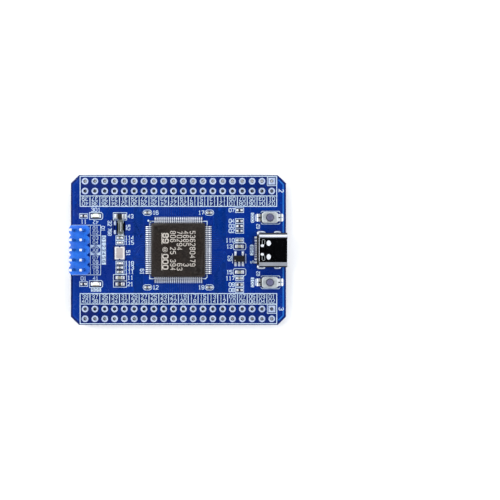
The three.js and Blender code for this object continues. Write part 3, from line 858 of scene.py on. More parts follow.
def buildTracks():
    gapLow, gapHigh = boardTop - 0.001, copperTop + 0.003
    plain = chipTracks() + crystalTracks() + supplyTracks()
    gaps = [ribbon(roundCorners(track, 0.2, 2), board["traceGap"], gapLow, gapHigh) for track in plain]
    makePiece("board_track_gaps", gaps, "maskOverLaminate")
    lines = [ribbon(roundCorners(track, 0.2, 2), board["traceWidth"], gapLow, copperTop + 0.006) for track in plain]
    makePiece("board_tracks", lines, "maskOverTrace")
    lines = [ribbon(roundCorners(track, 0.2, 2), 0.2, gapLow, copperTop) for track in padTracks()]
    makePiece("board_pad_tracks", lines, "maskOverCopper")
    under = []
    for i, x in enumerate(columnPlaces[:-1]):
        middle = x + board["pitch"] / 2
        bend = 5.5 + 0.35 * (i % 7)
        under.append([(middle, 13.9), (middle, bend + 1), (middle + 1, bend), (middle + 1, -bend),
                      (middle, -bend - 1), (middle, -13.9)])
    solids = [turnedUnder(ribbon(roundCorners(track, 0.4, 2), 0.5, gapLow, gapHigh)) for track in under]
    makePiece("board_track_gaps_under", solids, "maskOverLaminate")
    solids = [turnedUnder(ribbon(roundCorners(track, 0.4, 2), 0.22, gapLow, copperTop + 0.006)) for track in under]
    makePiece("board_tracks_under", solids, "maskOverTrace")


def viaPlaces():
    places = [(-26.6, 12.2), (-26.6, -12.2), (26.6, 12.2), (26.4, -12), (-9.9, 10.4), (10.6, 10.5), (-11.8, -10.2)]
    places += [(17.9 + 0.9 * (i % 2), -4.2 + 1.3 * i) for i in range(7)]
    places += [(-18.4, -2.2 + 1.9 * i) for i in range(4)]
    places += [(-10.6 - 0.8 * (i % 3), -3.8 + 0.9 * i) for i in range(5)]
    places += [(-23.6 + 1.6 * i, 11.9 - 0.9 * (i % 2)) for i in range(3)]
    places += [(11.9, -5.2 + 2.3 * i) for i in range(5)]
    return places


def buildVias():
    vias = []
    for x, y in viaPlaces():
        vias.append(ring(circleOutline(0.3, x, y, 12), circleOutline(0.13, x, y, 12), boardTop, copperTop + 0.012))
        vias.append(turned([(0.29, copperTop - 0.004), (0.02, copperTop - 0.001)], 12, x, y))
    makePiece("board_vias", vias, "maskOverTrace")


def portNumbers(top):
    solids = []
    low, high = board["labelZone"]
    for i, x in enumerate(columnPlaces):
        rank = board["columns"] - 1 - i
        outerFirst = 2 * rank + 1
        numbers = (outerFirst, outerFirst + 1)
        for row, number in enumerate(numbers):
            y = (high - 0.75) - row * 1.22
            solids += inkNumber(f"{number:02d}", x, y if top else y - low - high, 0.94, 0.13, inkLow, inkHigh,
                                turn=1 if top else 0, wide=0.66, step=0.92)
    return solids


def headerFrames():
    weight, reach = board["inkWeight"], board["frameReach"]
    low, middle, high = board["labelZone"][0], board["padZone"][0], board["padZone"][1]
    lines = []
    for side in (-1, 1):
        lines.append(frameLine(boxOutline(2 * reach, high - low, 0, side * (low + high) / 2), weight,
                               inkLow, inkHigh))
        lines.append(ribbon([(-reach, side * middle), (reach, side * middle)], weight, inkLow, inkHigh))
        for i in range(1, board["columns"]):
            x = i * board["pitch"] - reach
            lines.append(ribbon([(x, side * low), (x, side * middle)], weight, inkLow, inkHigh))
    return lines


def chipInk():
    lines = []
    for node, (kind, text, side) in chipBoxes.items():
        x, y = nodeCentre(node)
        length, width = boxSizes[kind]
        if kind in ("corner", "large"):
            outline = (capsuleOutline(length, width, x, y, 4) if kind == "corner"
                       else roundedOutline(length, width, 0.5, x, y, 3))
        else:
            outline = boxOutline(length, width, x, y)
        lines.append(frameLine(outline, 0.14, inkLow, inkHigh))
        reach = length / 2 + 0.18 + 0.4 * len(text)
        places = {"left": (x - reach, y), "right": (x + reach, y), "above": (x, y + 1.45), "below": (x, y - 1.5)}
        turn = 1 if side == "below" else 0
        lines += inkNumber(text, *places[side], 0.94, 0.17, inkLow, inkHigh, turn, wide=0.64, step=0.84)
    return lines


def chipOutlineInk():
    weight = 0.24
    lines = []
    corner, arm = 7.42, 1.0
    for turn in range(4):
        cornerLine = [(corner - arm, corner), (corner, corner), (corner, corner - arm)]
        if turn == 3:
            cornerLine = [(corner - arm, corner), (corner - 0.4, corner), (corner, corner - 0.4),
                          (corner, corner - arm)]
        lines.append(placed(ribbon(cornerLine, weight, inkLow, inkHigh), turn=turn / 2))
        # Thin ink line along each side, seen between the leads; it is partly the ink outline and partly a painted
        # highlight standing in for the glare on the lead shoulders
        sideLine = ribbon([(arm - corner, corner - 0.06), (corner - arm, corner - 0.06)], weight / 2,
                          inkLow, inkHigh)
        lines.append(placed(sideLine, turn=turn / 2))  # seen between the leads
    lines.append(slab([(-7.5, 6.7), (-6.7, 7.5), (-7.5, 7.5)][::-1], inkLow, inkHigh))
    lines.append(turned([(0.26, inkLow), (0.26, inkHigh)], 14, -7.78, 7.57))
    return lines


def socketInk():
    dark = inkHigh - 0.002, inkHigh + 0.006
    lines = [slab(roundedOutline(0.92, 2.75, 0.3, 18.95, 0, 4), inkLow, inkHigh)]
    gaps = inkNumber("258", 18.95, 0, 0.66, 0.13, *dark, 0.5, wide=0.8, step=1.15)
    lines += inkNumber("5", 19.1, -3.1, 0.86, 0.14, inkLow, inkHigh, 0.5)
    for node, text, number in (("boot_switch_cover", "000", "6"), ("reset_switch_cover", "001", "8")):
        x, y = nodeCentre(node)
        side = math.copysign(1, y)
        for along in (-1, 1):
            bent = [(x - 2.35, y + along * 1.3), (x - 2.05, y + along * 1.66), (x + 2.35, y + along * 1.66),
                    (x + 2.65, y + along * 1.3)]
            lines.append(ribbon(bent, 0.15, inkLow, inkHigh))
        lines.append(slab(roundedOutline(0.85, 2.5, 0.15, x - 4.5, y, 3), inkLow, inkHigh))
        gaps += inkNumber(text, x - 4.5, y, 0.62, 0.12, *dark, -0.5 * side, wide=0.8, step=1.2)
        lines += inkNumber(number + "2", x - 3.05, side * (abs(y) - 2.25), 0.8, 0.14, inkLow, inkHigh, 0.5,
                           wide=0.6)
    return lines, gaps


def headerInk():
    x0, x1 = -22.75, -20.1
    lines = []
    for side in (-1, 1):
        lines.append(ribbon([(-halfLength + 0.3, side * 6.42), (x1, side * 6.42)], 0.15, inkLow, inkHigh))
    for x in (x1, x0):
        lines.append(ribbon([(x, -6.42), (x, 6.42)], 0.15, inkLow, inkHigh))
    for row in range(1, 5):
        y = -6.35 + row * board["pitch"]
        lines.append(ribbon([(x0, y), (x1, y)], 0.14, inkLow, inkHigh))
    for row in range(5):
        y = (2 - row) * board["pitch"]
        for half in (0, 1):
            place = y + (0.55 if half == 0 else -0.55)
            lines += inkNumber(f"{2 * row + half + 1:02d}", -21.42, place, 0.84, 0.14, inkLow, inkHigh,
                               wide=0.62, step=0.95)
    for sideX in (-1, 1):
        for sideY in (-1, 1):
            corner = [(sideX * 1.25, sideY * 1.2), (sideX * 0.35, sideY * 1.2), (sideX * 1.25, sideY * 0.3)]
            corner = corner if sideX * sideY > 0 else corner[::-1]
            lines.append(slab([(-21.42 + px, py) for px, py in corner], inkLow, inkHigh))
    lines.append(slab(boxOutline(1.1, 7.5, -19.3, 0), inkLow, inkHigh))
    gaps = inkNumber("0123456", -19.3, 0, 0.78, 0.14, inkHigh - 0.002, inkHigh + 0.006, -0.5, wide=0.74, step=1.3)
    lines += inkNumber("01", -19.5, 5.5, 0.86, 0.14, inkLow, inkHigh, -0.5, wide=0.62)
    return lines, gaps


def lightInk():
    lines = []
    for node in ("user_led", "power_led"):
        x, y = nodeCentre(node)
        outline = [(x - 1.68, y - 0.9), (x + 1.4, y - 0.9), (x + 1.73, y - 0.55), (x + 1.73, y + 0.55),
                   (x + 1.4, y + 0.9), (x - 1.68, y + 0.9)]
        lines.append(frameLine(outline, 0.15, inkLow, inkHigh))
    lines += inkNumber("301", -21.35, 10.4, 0.95, 0.17, inkLow, inkHigh, wide=0.66, step=0.9)
    lines += inkNumbers((("42", -21.4, 7.2, 0.86, 0.14, 1), ("41", -21.4, -7.3, 0.86, 0.14, 0)))
    lines.append(slab(roundedOutline(2.6, 0.95, 0.1, -21.3, -10.3, 3), inkLow, inkHigh))
    gaps = inkNumber("505", -21.3, -10.3, 0.66, 0.13, inkHigh - 0.002, inkHigh + 0.006, wide=0.8, step=1.2)
    return lines, gaps


# Numbers that stand free on the board: text, x, y, height, weight and turn in half turns
looseNumbers = (
    ("52", -13.0, 5.8, 0.92, 0.16, -0.5),
    ("51", -13.0, -0.8, 0.92, 0.16, -0.5),
    ("32", -17.75, 6.9, 0.92, 0.16, -0.5),
    ("768", -17.75, 4.7, 0.85, 0.15, -0.5),
    ("61", -9.4, -5.6, 0.95, 0.17, -0.5),
)
edgeNumbers = (("2", 26.55, 15.3, 1.1, 0.18, -0.5), ("3", 26.55, -15.2, 1.1, 0.18, -0.5))


def inkNumbers(rows):
    return [stroke for text, x, y, height, weight, turn in rows
            for stroke in inkNumber(text, x, y, height, weight, inkLow, inkHigh, turn)]


def crystalInk():
    lines = inkNumbers(looseNumbers)
    x, y = nodeCentre("regulator_body")
    for side in (-1, 1):
        lines.append(ribbon([(x + side * 1.72, y - 1.2), (x + side * 1.72, y + 1.3)], 0.14, inkLow, inkHigh))
    return lines + inkNumbers((("62", x - 2.45, y + 0.1, 0.9, 0.16, 0.5), *edgeNumbers))


def buildInk():
    frames = headerFrames()
    for x, y in squarePads:
        frames.append(frameLine(boxOutline(2.3, 2.3, x, y), 0.13, inkLow, inkHigh))
    makePiece("board_ink_frames", frames, "ink")
    makePiece("board_ink_port_numbers", portNumbers(True) + portNumbers(False), "ink")
    marks = chipInk() + chipOutlineInk() + crystalInk()
    gaps = []
    for inked, left in (socketInk(), headerInk(), lightInk()):
        marks += inked
        gaps += left
    makePiece("board_ink_part_marks", marks, "ink")
    makePiece("board_ink_gaps", gaps, "maskOverLaminate")
    under = [turnedUnder(line) for line in headerFrames() + portNumbers(True) + portNumbers(False)]
    makePiece("board_ink_under", under, "ink")


buildBoard()
buildPads()
buildTracks()
buildVias()
buildInk()
print("circuit board dressed")


# Main chip
chip = {
    "leads": 25,
    "leadPitch": 0.5,
    "leadWidth": 0.22,
    "leadThickness": 0.13,
    "cornerCut": 0.25,
    "draft": 0.16,
    "padReach": (7.1, 8.55),
    "markHeight": 1.28,
    "markColumns": [(3.72, "536280479", 5.0), (2.02, "4685    3", 5.0), (0.38, "70294   63", 5.0),
                    (-1.32, "806 25 394", 5.0)],
}
chipLow, chipHigh = nodeBox("mcu_package")
leadFrameHigh = nodeBox("mcu_lead_frame")[1]


def buildChipBody():
    half = chipHigh.x
    seam = leadFrameHigh.z - 0.075
    wide = chamferedOutline(2 * half, 2 * half, chip["cornerCut"])
    narrow = offsetLine(wide, chip["draft"], True)
    edge = 0.05
    layers = [
        level(offsetLine(narrow, edge, True), chipLow.z), level(narrow, chipLow.z + edge),
        level(wide, seam - 0.03), level(offsetLine(wide, 0.03, True), seam - 0.01),
        level(offsetLine(wide, 0.03, True), seam + 0.01), level(wide, seam + 0.03),
        level(narrow, chipHigh.z - edge), level(offsetLine(narrow, edge * 0.4, True), chipHigh.z - edge * 0.3),
        level(offsetLine(narrow, edge, True), chipHigh.z)]
    body = makePiece("mcu_moulding", [stack(layers)], "chipMoulding",
                     standsFor=("mcu_package",), smooth=25)
    # Dished pin-one mark and a shallow ejector mark, cut from the top
    dishes = []
    for x, y, radius, depth in ((-5.4, 5.35, 0.62, 0.09), (5.3, -5.3, 0.8, 0.03)):
        top = chipHigh.z
        dishes.append(turned([(radius * 0.55, top - depth), (radius * 0.9, top - depth * 0.6), (radius, top + 0.02),
                              (radius, top + 0.1)], 28, x, y))
    cutAway(body, dishes)


# Cuts solids away from a finished piece and keeps the result as its mesh
def cutAway(piece, solids):
    cutter = makePiece("cutter", solids, "solder")
    cut = piece.modifiers.new("cut", "BOOLEAN")
    cut.operation = "DIFFERENCE"
    cut.solver = "EXACT"
    cut.use_self = True
    cut.object = cutter
    bpy.context.view_layer.update()
    result = bpy.data.meshes.new_from_object(piece.evaluated_get(bpy.context.evaluated_depsgraph_get()))
    piece.modifiers.clear()
    old = piece.data
    piece.data = result
    result.shade_smooth()
    result.set_sharp_from_angle(angle=math.radians(32))
    bpy.data.meshes.remove(old)
    bpy.data.objects.remove(cutter)


def buildChipLeads():
    top = leadFrameHigh.z - boardTop - 0.075
    foot = chip["leadThickness"] / 2 + board["padHeight"]
    path = [(6.9, top), (7.34, top), (7.62, foot), (8.0, foot)]
    path = [path[0]] + roundCorners(path, 0.16, 3)[1:]
    lead = bentStrip(path, chip["leadThickness"], chip["leadWidth"])
    wedge = placed(solderWedge(0.34, 0.12, chip["leadWidth"] + 0.02), 7.98, 0, board["padHeight"])
    heel = placed(solderWedge(0.16, 0.2, chip["leadWidth"]), 0, 0, 0, 1)
    heel = placed(heel, 7.56, 0, board["padHeight"])
    leads, solder, pads = [], [], []
    padLow, padHigh = chip["padReach"]
    pad = slab(roundedOutline(padHigh - padLow, 0.28, 0.05, (padLow + padHigh) / 2, 0, 2), -0.01,
               board["padHeight"])
    for side in range(4):
        for i in range(chip["leads"]):
            along = (i - (chip["leads"] - 1) / 2) * chip["leadPitch"]
            for source, target in ((lead, leads), (wedge, solder), (heel, solder), (pad, pads)):
                target.append(placed(placed(source, 0, along, boardTop), turn=side / 2))
    makePiece("mcu_leads", leads, "tinnedLead", standsFor=("mcu_lead_frame",), smooth=30)
    makePiece("mcu_lead_solder", solder, "solder")
    makePiece("mcu_land_pads", pads, "tinPad")


def buildChipMarks():
    height = chip["markHeight"]
    low, high = chipHigh.z - 0.004, chipHigh.z + 0.008
    marks = []
    advance = 1.04
    for x, text, start in chip["markColumns"]:
        for place, digit in enumerate(text):
            marks += inkNumber(digit, x, start - 0.5 - place * advance, height, 0.17, low, high, -0.5, wide=0.5)
    for place, digit in enumerate("89"):
        marks += inkNumber(digit, -3.2, 3.75 - place * 1.4, 1.35, 0.3, low, high, -0.5, wide=0.72)
    marks.append(ribbon([(-4.15, 4.4), (-4.15, 1.5)], 0.2, low, high))
    marks.append(ring(circleOutline(0.66, -3.35, 0.1), circleOutline(0.54, -3.35, 0.1), low, high))
    marks.append(ring(circleOutline(0.34, -3.35, 0.1, 16), circleOutline(0.2, -3.35, 0.1, 16), low, high))
    for place, digit in enumerate("000"):
        marks += inkNumber(digit, -3.25, -1.62 - place * 1.4, 1.3, 0.28, low, high, -0.5, wide=0.72)
    marks.append(ribbon([(-4.15, -0.9), (-4.15, -5.2)], 0.2, low, high))
    makePiece("mcu_marks", marks, "chipMark")


buildChipBody()
buildChipLeads()
buildChipMarks()
print("main chip built")


# USB-C socket
socket = {
    "wall": 0.3,
    "lip": 0.04,
    "dimples": ((23.3, 1.75), (23.3, -1.75)),
    "dimpleSize": (1.05, 1.45),
    "dimpleDepth": 0.2,
    "tabs": ((21.95, 2.05), (21.95, -2.05)),
    "tabSize": (0.75, 1.4),
    "crimps": ((21.65, 1.1), (21.65, -1.1)),
    "crimpSize": (0.85, 0.7),
    "crimpDepth": 0.14,
    "tabLine": 0.09,
    "contactPlaces": (-3.2, -2.4, -1.75, -1.25, -0.75, -0.25, 0.25, 0.75, 1.25, 1.75, 2.4, 3.2),
}
pressedShapes = ((socket["dimples"], socket["dimpleSize"], socket["dimpleDepth"]),
                 (socket["crimps"], socket["crimpSize"], socket["crimpDepth"]))


def socketSection(width, height, x, steps=9, across=84):
    radius = height / 2
    flat = width / 2 - radius
    line = [flat - 2 * flat * i / across for i in range(1, across)]
    outline = arcPoints(flat, 0, radius, -0.5, 0.5, steps) + [(y, radius) for y in line]
    outline += arcPoints(-flat, 0, radius, 0.5, 1.5, steps) + [(-y, -radius) for y in line]
    return [(x, y, usbMiddle + z) for y, z in outline]


# How far the sheet is pressed in at a place on the flat top
def pressedIn(x, y):
    depth = 0.0
    for places, (length, wide), deep in pressedShapes:
        for placeX, placeY in places:
            reach = math.hypot((x - placeX) * 2 / length, (y - placeY) * 2 / wide)
            depth = max(depth, deep * (1 - reach ** 2))
    return depth


def pressedSection(width, height, x):
    top = usbMiddle + height / 2
    return [(px, y, z - pressedIn(px, y) if z > top - 0.004 else z) for px, y, z in socketSection(width, height, x)]


def buildSocketShell():
    width, height = usbWidth, usbHigh.z - boardTop
    wall, lip = socket["wall"], socket["lip"]
    rear, mouth = usbLow.x, usbHigh.x
    inner = 2 * wall
    fine = [rear + 0.4 + 0.06 * i for i in range(64)]
    layers = [socketSection(width - 0.12, height - 0.12, rear),
              socketSection(width - 0.03, height - 0.03, rear + 0.04),
              socketSection(width, height, rear + 0.12), socketSection(width, height, rear + 0.16)]
    layers += [pressedSection(width, height, x) for x in fine]
    layers += [
        socketSection(width, height, mouth - 0.1), socketSection(width, height, mouth - 0.08),
        socketSection(width - lip * 0.6, height - lip * 0.6, mouth - 0.03),
        socketSection(width - lip * 2, height - lip * 2, mouth),
        socketSection(width - inner + 0.16, height - inner + 0.16, mouth),
        socketSection(width - inner, height - inner, mouth - 0.1)]
    layers += [pressedSection(width - inner, height - inner, x) for x in fine[::-1]]
    layers += [socketSection(width - inner, height - inner, rear + 0.06),
               socketSection(width - inner + 0.08, height - inner + 0.08, rear)]
    makePiece("socket_shell", [stack(layers, looped=True)], "sheetSteel", standsFor=("usb_shell",),
              smooth=60)
    # Pale, rougher steel in the pressed dimples and crimps: a painted highlight that makes them read white on the
    # mirror-like shell
    dishes = []
    for places, (long, wide), deep in pressedShapes:
        for x, y in places:
            rings = [level([(x + px * part, y + py * part) for px, py in capsuleOutline(long, wide, 0, 0, 8)],
                           usbHigh.z + 0.012 - deep * (1 - part ** 2) * 0.9)
                     for part in (0.94, 0.75, 0.5, 0.25, 0.04)]
            dishes.append(stack(rings))
    makePiece("socket_pressed_dish_highlights", dishes, "dimpleHighlightSteel", smooth=60)
    # Dark strips along each side where the sheet turns down: painted shade lines at the shell's outline. A thin
    # dark strip on the board under the shell joins them.
    shadeLines = []
    radius = height / 2
    for start in (0.1, 0.78):
        flat = (width / 2 - radius) * (1 if start < 0.5 else -1)
        arc = arcPoints(flat, usbMiddle, radius + 0.006, start, start + 0.12, 5)
        arc += arcPoints(flat, usbMiddle, radius - 0.05, start + 0.12, start, 5)
        shadeLines.append(stack([[(x, y, z) for y, z in arc] for x in (rear + 0.25, mouth - 0.1)]))
    # Rings of the paler cover steel round the rear tabs: a painted highlight along the tab edges
    tabHighlightRings = [ring(capsuleOutline(*socket["tabSize"], x, y, 6),
                  capsuleOutline(*[size - 2 * socket["tabLine"] for size in socket["tabSize"]], x, y, 6),
                  usbHigh.z - 0.02, usbHigh.z + 0.006) for x, y in socket["tabs"]]
    makePiece("socket_tab_edge_highlights", tabHighlightRings, "coverSteel")
    shadeLines.append(slab(boxOutline(mouth - rear - 0.3, 0.05, (rear + mouth) / 2, 0.6), boardTop - 0.004,
                      boardTop + 0.006))
    makePiece("socket_shade_lines", shadeLines, "blackPlastic")


def buildSocketLegs():
    wall = socket["wall"]
    legs, solder = [], []
    for x, y, length in legSlots:
        size = length - 0.55
        shape = roundedOutline(size, 2.6, 0.2, x, 0.3)
        low = [(px, y - wall / 2, boardTop + pz) for px, pz in shape]
        high = [(px, y + wall / 2, boardTop + pz) for px, pz in shape]
        legs.append(stack([low, high]))
        base = capsuleOutline(length + 0.3, 1.0, x, y)
        collar = [level(base, boardTop + 0.02), level(offsetLine(base, 0.16, True), boardTop + 0.07),
                  level(capsuleOutline(size + 0.06, wall + 0.16, x, y), boardTop + 0.34)]
        solder.append(stack(collar))
        below = [level(capsuleOutline(length + 0.3, 0.95, x, y), boardUnder - 0.02),
                 level(capsuleOutline(length - 0.1, 0.7, x, y), boardUnder - 0.12),
                 level(capsuleOutline(size * 0.6, 0.3, x, y), boardUnder - 0.2)]
        solder.append(stack(below))
    makePiece("socket_legs", legs, "sheetSteel", rounding=0.03)
    makePiece("socket_leg_solder", solder, "solder")


def buildSocketInside():
    wall = socket["wall"] + 0.02
    rear = usbLow.x
    section = (usbWidth - 2 * wall, usbHigh.z - boardTop - 2 * wall)
    plug = [socketSection(section[0] - 0.2, section[1] - 0.2, rear + 0.12), socketSection(*section, rear + 0.22),
            socketSection(*section, 22.3), socketSection(section[0] - 0.2, section[1] - 0.2, 22.4)]
    tongue = [[(x, y, usbMiddle + z) for y, z in roundedOutline(wide, thick, 0.12, 0, 0, 2)]
              for x, wide, thick in ((22.2, 6.69, 0.69), (26.75, 6.69, 0.69), (26.95, 6.4, 0.5))]
    collar = [[(x, y, usbMiddle + z) for y, z in roundedOutline(wide, thick, 0.3, 0, 0, 3)]
              for x, wide, thick in ((22.3, 7.2, 1.3), (23.2, 7.2, 1.3), (23.35, 7.0, 1.1))]
    block = placed(roundedBlock(0.7, 7.6, 0.2, 1.35, 0.08), rear - 0.2, 0, boardTop)
    makePiece("socket_insulator", [stack(plug), stack(tongue), stack(collar), block], "blackPlastic",
              standsFor=("usb_insulator",))
    strips, tails, pads, solder = [], [], [], []
    padTop = boardTop + board["padHeight"]
    foot, reach = padTop + 0.06, boardTop + 0.32
    path = roundCorners([(rear - 0.3, reach), (rear - 0.48, reach), (rear - 0.6, foot),
                         (rear - 0.95, foot)], 0.08, 3)
    for y in socket["contactPlaces"]:
        for side in (-1, 1):
            face = usbMiddle + side * 0.355
            strip = bentStrip([(23.4, face), (26.3, face), (26.5, face - side * 0.08)], 0.05, 0.26)
            strips.append(placed(strip, 0, y, 0))
        narrow = abs(y) < 2  # the supply contacts at the ends are wider
        wide = 0.26 if narrow else 0.5
        tails.append(placed(bentStrip(path, 0.12, 0.24 if narrow else 0.42), 0, y, 0))
        pads.append(slab(roundedOutline(0.5, wide, 0.06, rear - 0.8, y, 2), boardTop - 0.01, padTop))
        solder.append(placed(solderWedge(0.12, 0.1, wide * 0.85), rear - 0.94, y, padTop, 1))
    makePiece("socket_contact_strips", strips, "goldPlate",
              standsFor=("usb_contacts_upper", "usb_contacts_lower", "usb_mid_plate"))
    makePiece("socket_contact_tails", tails, "tinnedLead")
    makePiece("socket_contact_pads", pads, "tinPad")
    makePiece("socket_contact_solder", solder, "solder")
    clips = []
    for side in (-1, 1):
        path = [(24.2, usbMiddle + 0.02), (25.6, usbMiddle + 0.02), (26.2, usbMiddle + 0.02)]
        clip = bentStrip(path, 0.5, 0.1)
        clips.append(placed(clip, 0, side * 3.42, 0))
    makePiece("socket_side_latches", clips, "sheetSteel", rounding=0.02)


buildSocketShell()
buildSocketLegs()
buildSocketInside()
print("socket built")


# Debug header
header = {"pinWidth": 0.64, "notch": 0.7, "farNotch": 0.45, "rows": 5, "tip": 0.35, "foot": 0.25}
housingLow, housingHigh = nodeBox("debug_header_housing")
housingX, housingY = nodeCentre("debug_header_housing")


def housingOutline():
    x = (housingHigh.x - housingLow.x) / 2
    y = (housingHigh.y - housingLow.y) / 2
    n, pitch = header["notch"], board["pitch"]
    side = [(x - n, -y), (x, n - y)]
    for row in range(1, header["rows"]):
        middle = row * pitch - y
        side += [(x, middle - n), (x - n, middle), (x, middle + n)]
    side += [(x, y - n), (x - n, y)]
    far = header["farNotch"] / n
    return side + [(-x + (x - a) * far, -b) for a, b in side]


def buildHeader():
    outline = [(housingX + x, housingY + y) for x, y in housingOutline()]
    low, high = housingLow.z, housingHigh.z
    edge = 0.07
    layers = [level(offsetLine(outline, edge, True), low), level(outline, low + edge), level(outline, high - edge),
              level(offsetLine(outline, edge * 0.35, True), high - edge * 0.35),
              level(offsetLine(outline, edge, True), high)]
    housing = makePiece("header_housing", [stack(layers)], "bluePlastic",
                        standsFor=("debug_header_housing",), smooth=28)
    funnels = []
    for x, y in pinHoles:
        wide = header["pinWidth"] / 2 + 0.02
        rings = [level(boxOutline(2 * r, 2 * r, x, y), z) for r, z in
                 ((wide, low - 0.1), (wide, high - 0.06), (wide + 0.04, high), (wide + 0.1, high + 0.1))]
        funnels.append(stack(rings))
    for row in range(header["rows"]):
        y = housingY + (row - 2) * board["pitch"]
        funnels.append(slab(boxOutline(8, 0.9, housingX, y), low - 0.1, low + header["foot"]))
    cutAway(housing, funnels)


def buildHeaderPins():
    solder = []
    for i, (x, y) in enumerate(pinHoles):
        node = f"debug_header_pin_{i + 1}"
        low, high = nodeBox(node)
        half = header["pinWidth"] / 2
        reach = header["tip"]
        rings = [level(chamferedOutline(2 * half, 2 * half, half * 0.16, x, y), z)
                 for z in (low.z + reach, high.z - reach)]
        makePiece(f"header_pin_{i + 1}", [stack(rings)], "pinShank", standsFor=(node,), smooth=30)
        # The pin ends take the near-white tip finish, a painted highlight on the cut ends
        ends = []
        for z, way in ((high.z, 1), (low.z, -1)):
            rings = [level(chamferedOutline(2 * r, 2 * r, r * 0.2, x, y), z - way * drop)
                     for r, drop in ((half, reach), (half * 0.97, reach * 0.75), (half * 0.7, 0.06),
                                     (half * 0.55, 0))]
            ends.append(stack(rings[::way]))
        makePiece(f"header_pin_{i + 1}_tips", ends, "tipHighlightMetal", smooth=30)
        steps = 6
        profile = []
        for step in range(steps + 1):
            t = step / steps
            radius = 0.4 + 0.42 * (1 - t) ** 2.2
            profile.append((radius, boardTop + 0.02 + 0.85 * t))
        profile.append((0.3, boardTop + 0.9))
        solder.append(turnedUnder(turned(profile, 20, x, -y)))
    makePiece("header_pin_solder", solder, "solder", smooth=60)


buildHeader()
buildHeaderPins()
print("debug header built")


# Push switches
switch = {
    "sheet": 0.15,
    "cornerRadius": 0.6,
    "flapDraft": 0.13,
    "hole": 0.98,
    "pocket": 1.28,
    "foot": 0.5,
    "stem": 0.8,
    "flange": 1.16,
    "terminalWidth": 0.8,
    "terminalThickness": 0.12,
    "terminalPlaces": (-0.53, 0.53),
    "domeRadius": 1.24,
    "domeSheet": 0.06,
    "domeKept": 0.3,
}


# Black base: a floor, a stepped rim round the pocket that the plunger moves in, and a foot at each corner
def buildSwitchMoulding(name, x, y, length, width, top):
    sheet, pocket = switch["sheet"], switch["pocket"]
    floor = nodeBox(f"{name}_switch_dome")[0].z
    solids = [slab(roundedOutline(length - 0.06, width - 2 * sheet - 0.02, 0.1, x, y, 2), boardTop + 0.02,
                   floor - 0.01)]
    for inset, gap, low, high in ((0.06, 0.02, floor - 0.03, top - sheet - 0.3),
                                  (0.1, 0.1, top - sheet - 0.32, top - sheet)):
        outline = roundedOutline(length - inset, width - 2 * sheet - gap, 0.1, x, y, 6)
        solids.append(ring(outline, circleOutline(pocket, x, y, 28), low, high))
    for signX in (-1, 1):
        for signY in (-1, 1):
            foot = roundedOutline(switch["foot"], switch["foot"], 0.08, x + signX * 1.85, y + signY * 1.0, 2)
            solids.append(slab(foot, boardTop, top - sheet - 0.02))
    makePiece(f"{name}_switch_moulding", solids, "blackPlastic",
              standsFor=(f"{name}_switch_base",), rounding=0.025)


# Sheet metal cover: a rounded top with its hole rolled in, and two side flaps with round-ended legs
def buildSwitchCover(name, x, y, length, width, top):
    sheet, hole, draft = switch["sheet"], switch["hole"], switch["flapDraft"]
    narrow = width - 2 * draft
    outer = roundedOutline(length, narrow, switch["cornerRadius"], x, y, 6)
    layers = [level(outer, top - sheet), level(outer, top - 0.06),
              level(offsetLine(outer, 0.02, True), top - 0.018), level(offsetLine(outer, 0.06, True), top)]
    for widened, drop in ((0.07, 0), (0.02, 0.03), (0, 0.08), (0, sheet)):
        layers.append(level(circleOutline(hole + widened, x, y, 28), top - drop))
    solids = [stack(layers, looped=True)]
    half = [(-1.55, 0.05), (-1.55, 0.62), (-1.1, 0.86), (-0.5, 0.86), (-0.35, 0.55)]
    shape = [(px, top - drop) for px, drop in half] + [(-px, top - drop) for px, drop in half[::-1]]
    for side in (-1, 1):
        points, faces = sideSlab(shape, sheet)
        points = [(px, py + side * (top - z) * draft / 0.8, z) for px, py, z in points]
        solids.append(placed((points, faces), x, y + side * (narrow - sheet) / 2, 0))
    makePiece(f"{name}_switch_cap", solids, "coverSteel", standsFor=(f"{name}_switch_cover",),
              rounding=0.02)


# Terminals at the two short ends, on their pads, beside the black end wall
def buildSwitchTerminals(name, x, y):
    terminals, pads, solder = [], [], []
    wide = switch["terminalWidth"]
    lift = boardTop + board["padHeight"]
    for end in (-1, 1):
        turn = 0 if end > 0 else 1
        for place in switch["terminalPlaces"]:
            path = roundCorners([(1.5, 0.35), (2.3, 0.35), (2.46, 0.06), (3.1, 0.06)], 0.12, 3)
            strip = bentStrip(path, switch["terminalThickness"], wide)
            terminals.append(placed(placed(strip, 0, place, 0), x, y, lift, turn))
            wedge = placed(solderWedge(0.3, 0.11, wide), 3.08, place, 0)
            solder.append(placed(wedge, x, y, lift, turn))
        reach = 3.0 if end < 0 else 2.75
        pad = slab(roundedOutline(1.7, 2.0, 0.5, reach, 0, 5), -0.03, 0.01)
        pads.append(placed(pad, x, y, lift, turn))
    wall = []
    for length, width, radius, alongX, alongY, height in (
            (0.6, 0.74, 0.06, -2.22, -0.6, 1.1), (0.6, 0.74, 0.06, -2.22, 0.6, 1.1),
            (0.5, 1.9, 0.06, -2.1, 0, 0.9), (0.7, 0.36, 0.08, -2.6, 0, 0.42), (0.5, 0.3, 0.06, 2.4, 0, 0.42)):
        outline = roundedOutline(length, width, radius, x + alongX, y + alongY, 2)
        wall.append(slab(outline, boardTop + 0.05, boardTop + height))
    makePiece(f"{name}_switch_end_wall", wall, "blackPlastic", rounding=0.02)
    makePiece(f"{name}_switch_terminals", terminals, "tinnedLead", rounding=0.015)
    makePiece(f"{name}_switch_pads", pads, "tinPad")
    makePiece(f"{name}_switch_solder", solder, "solder")


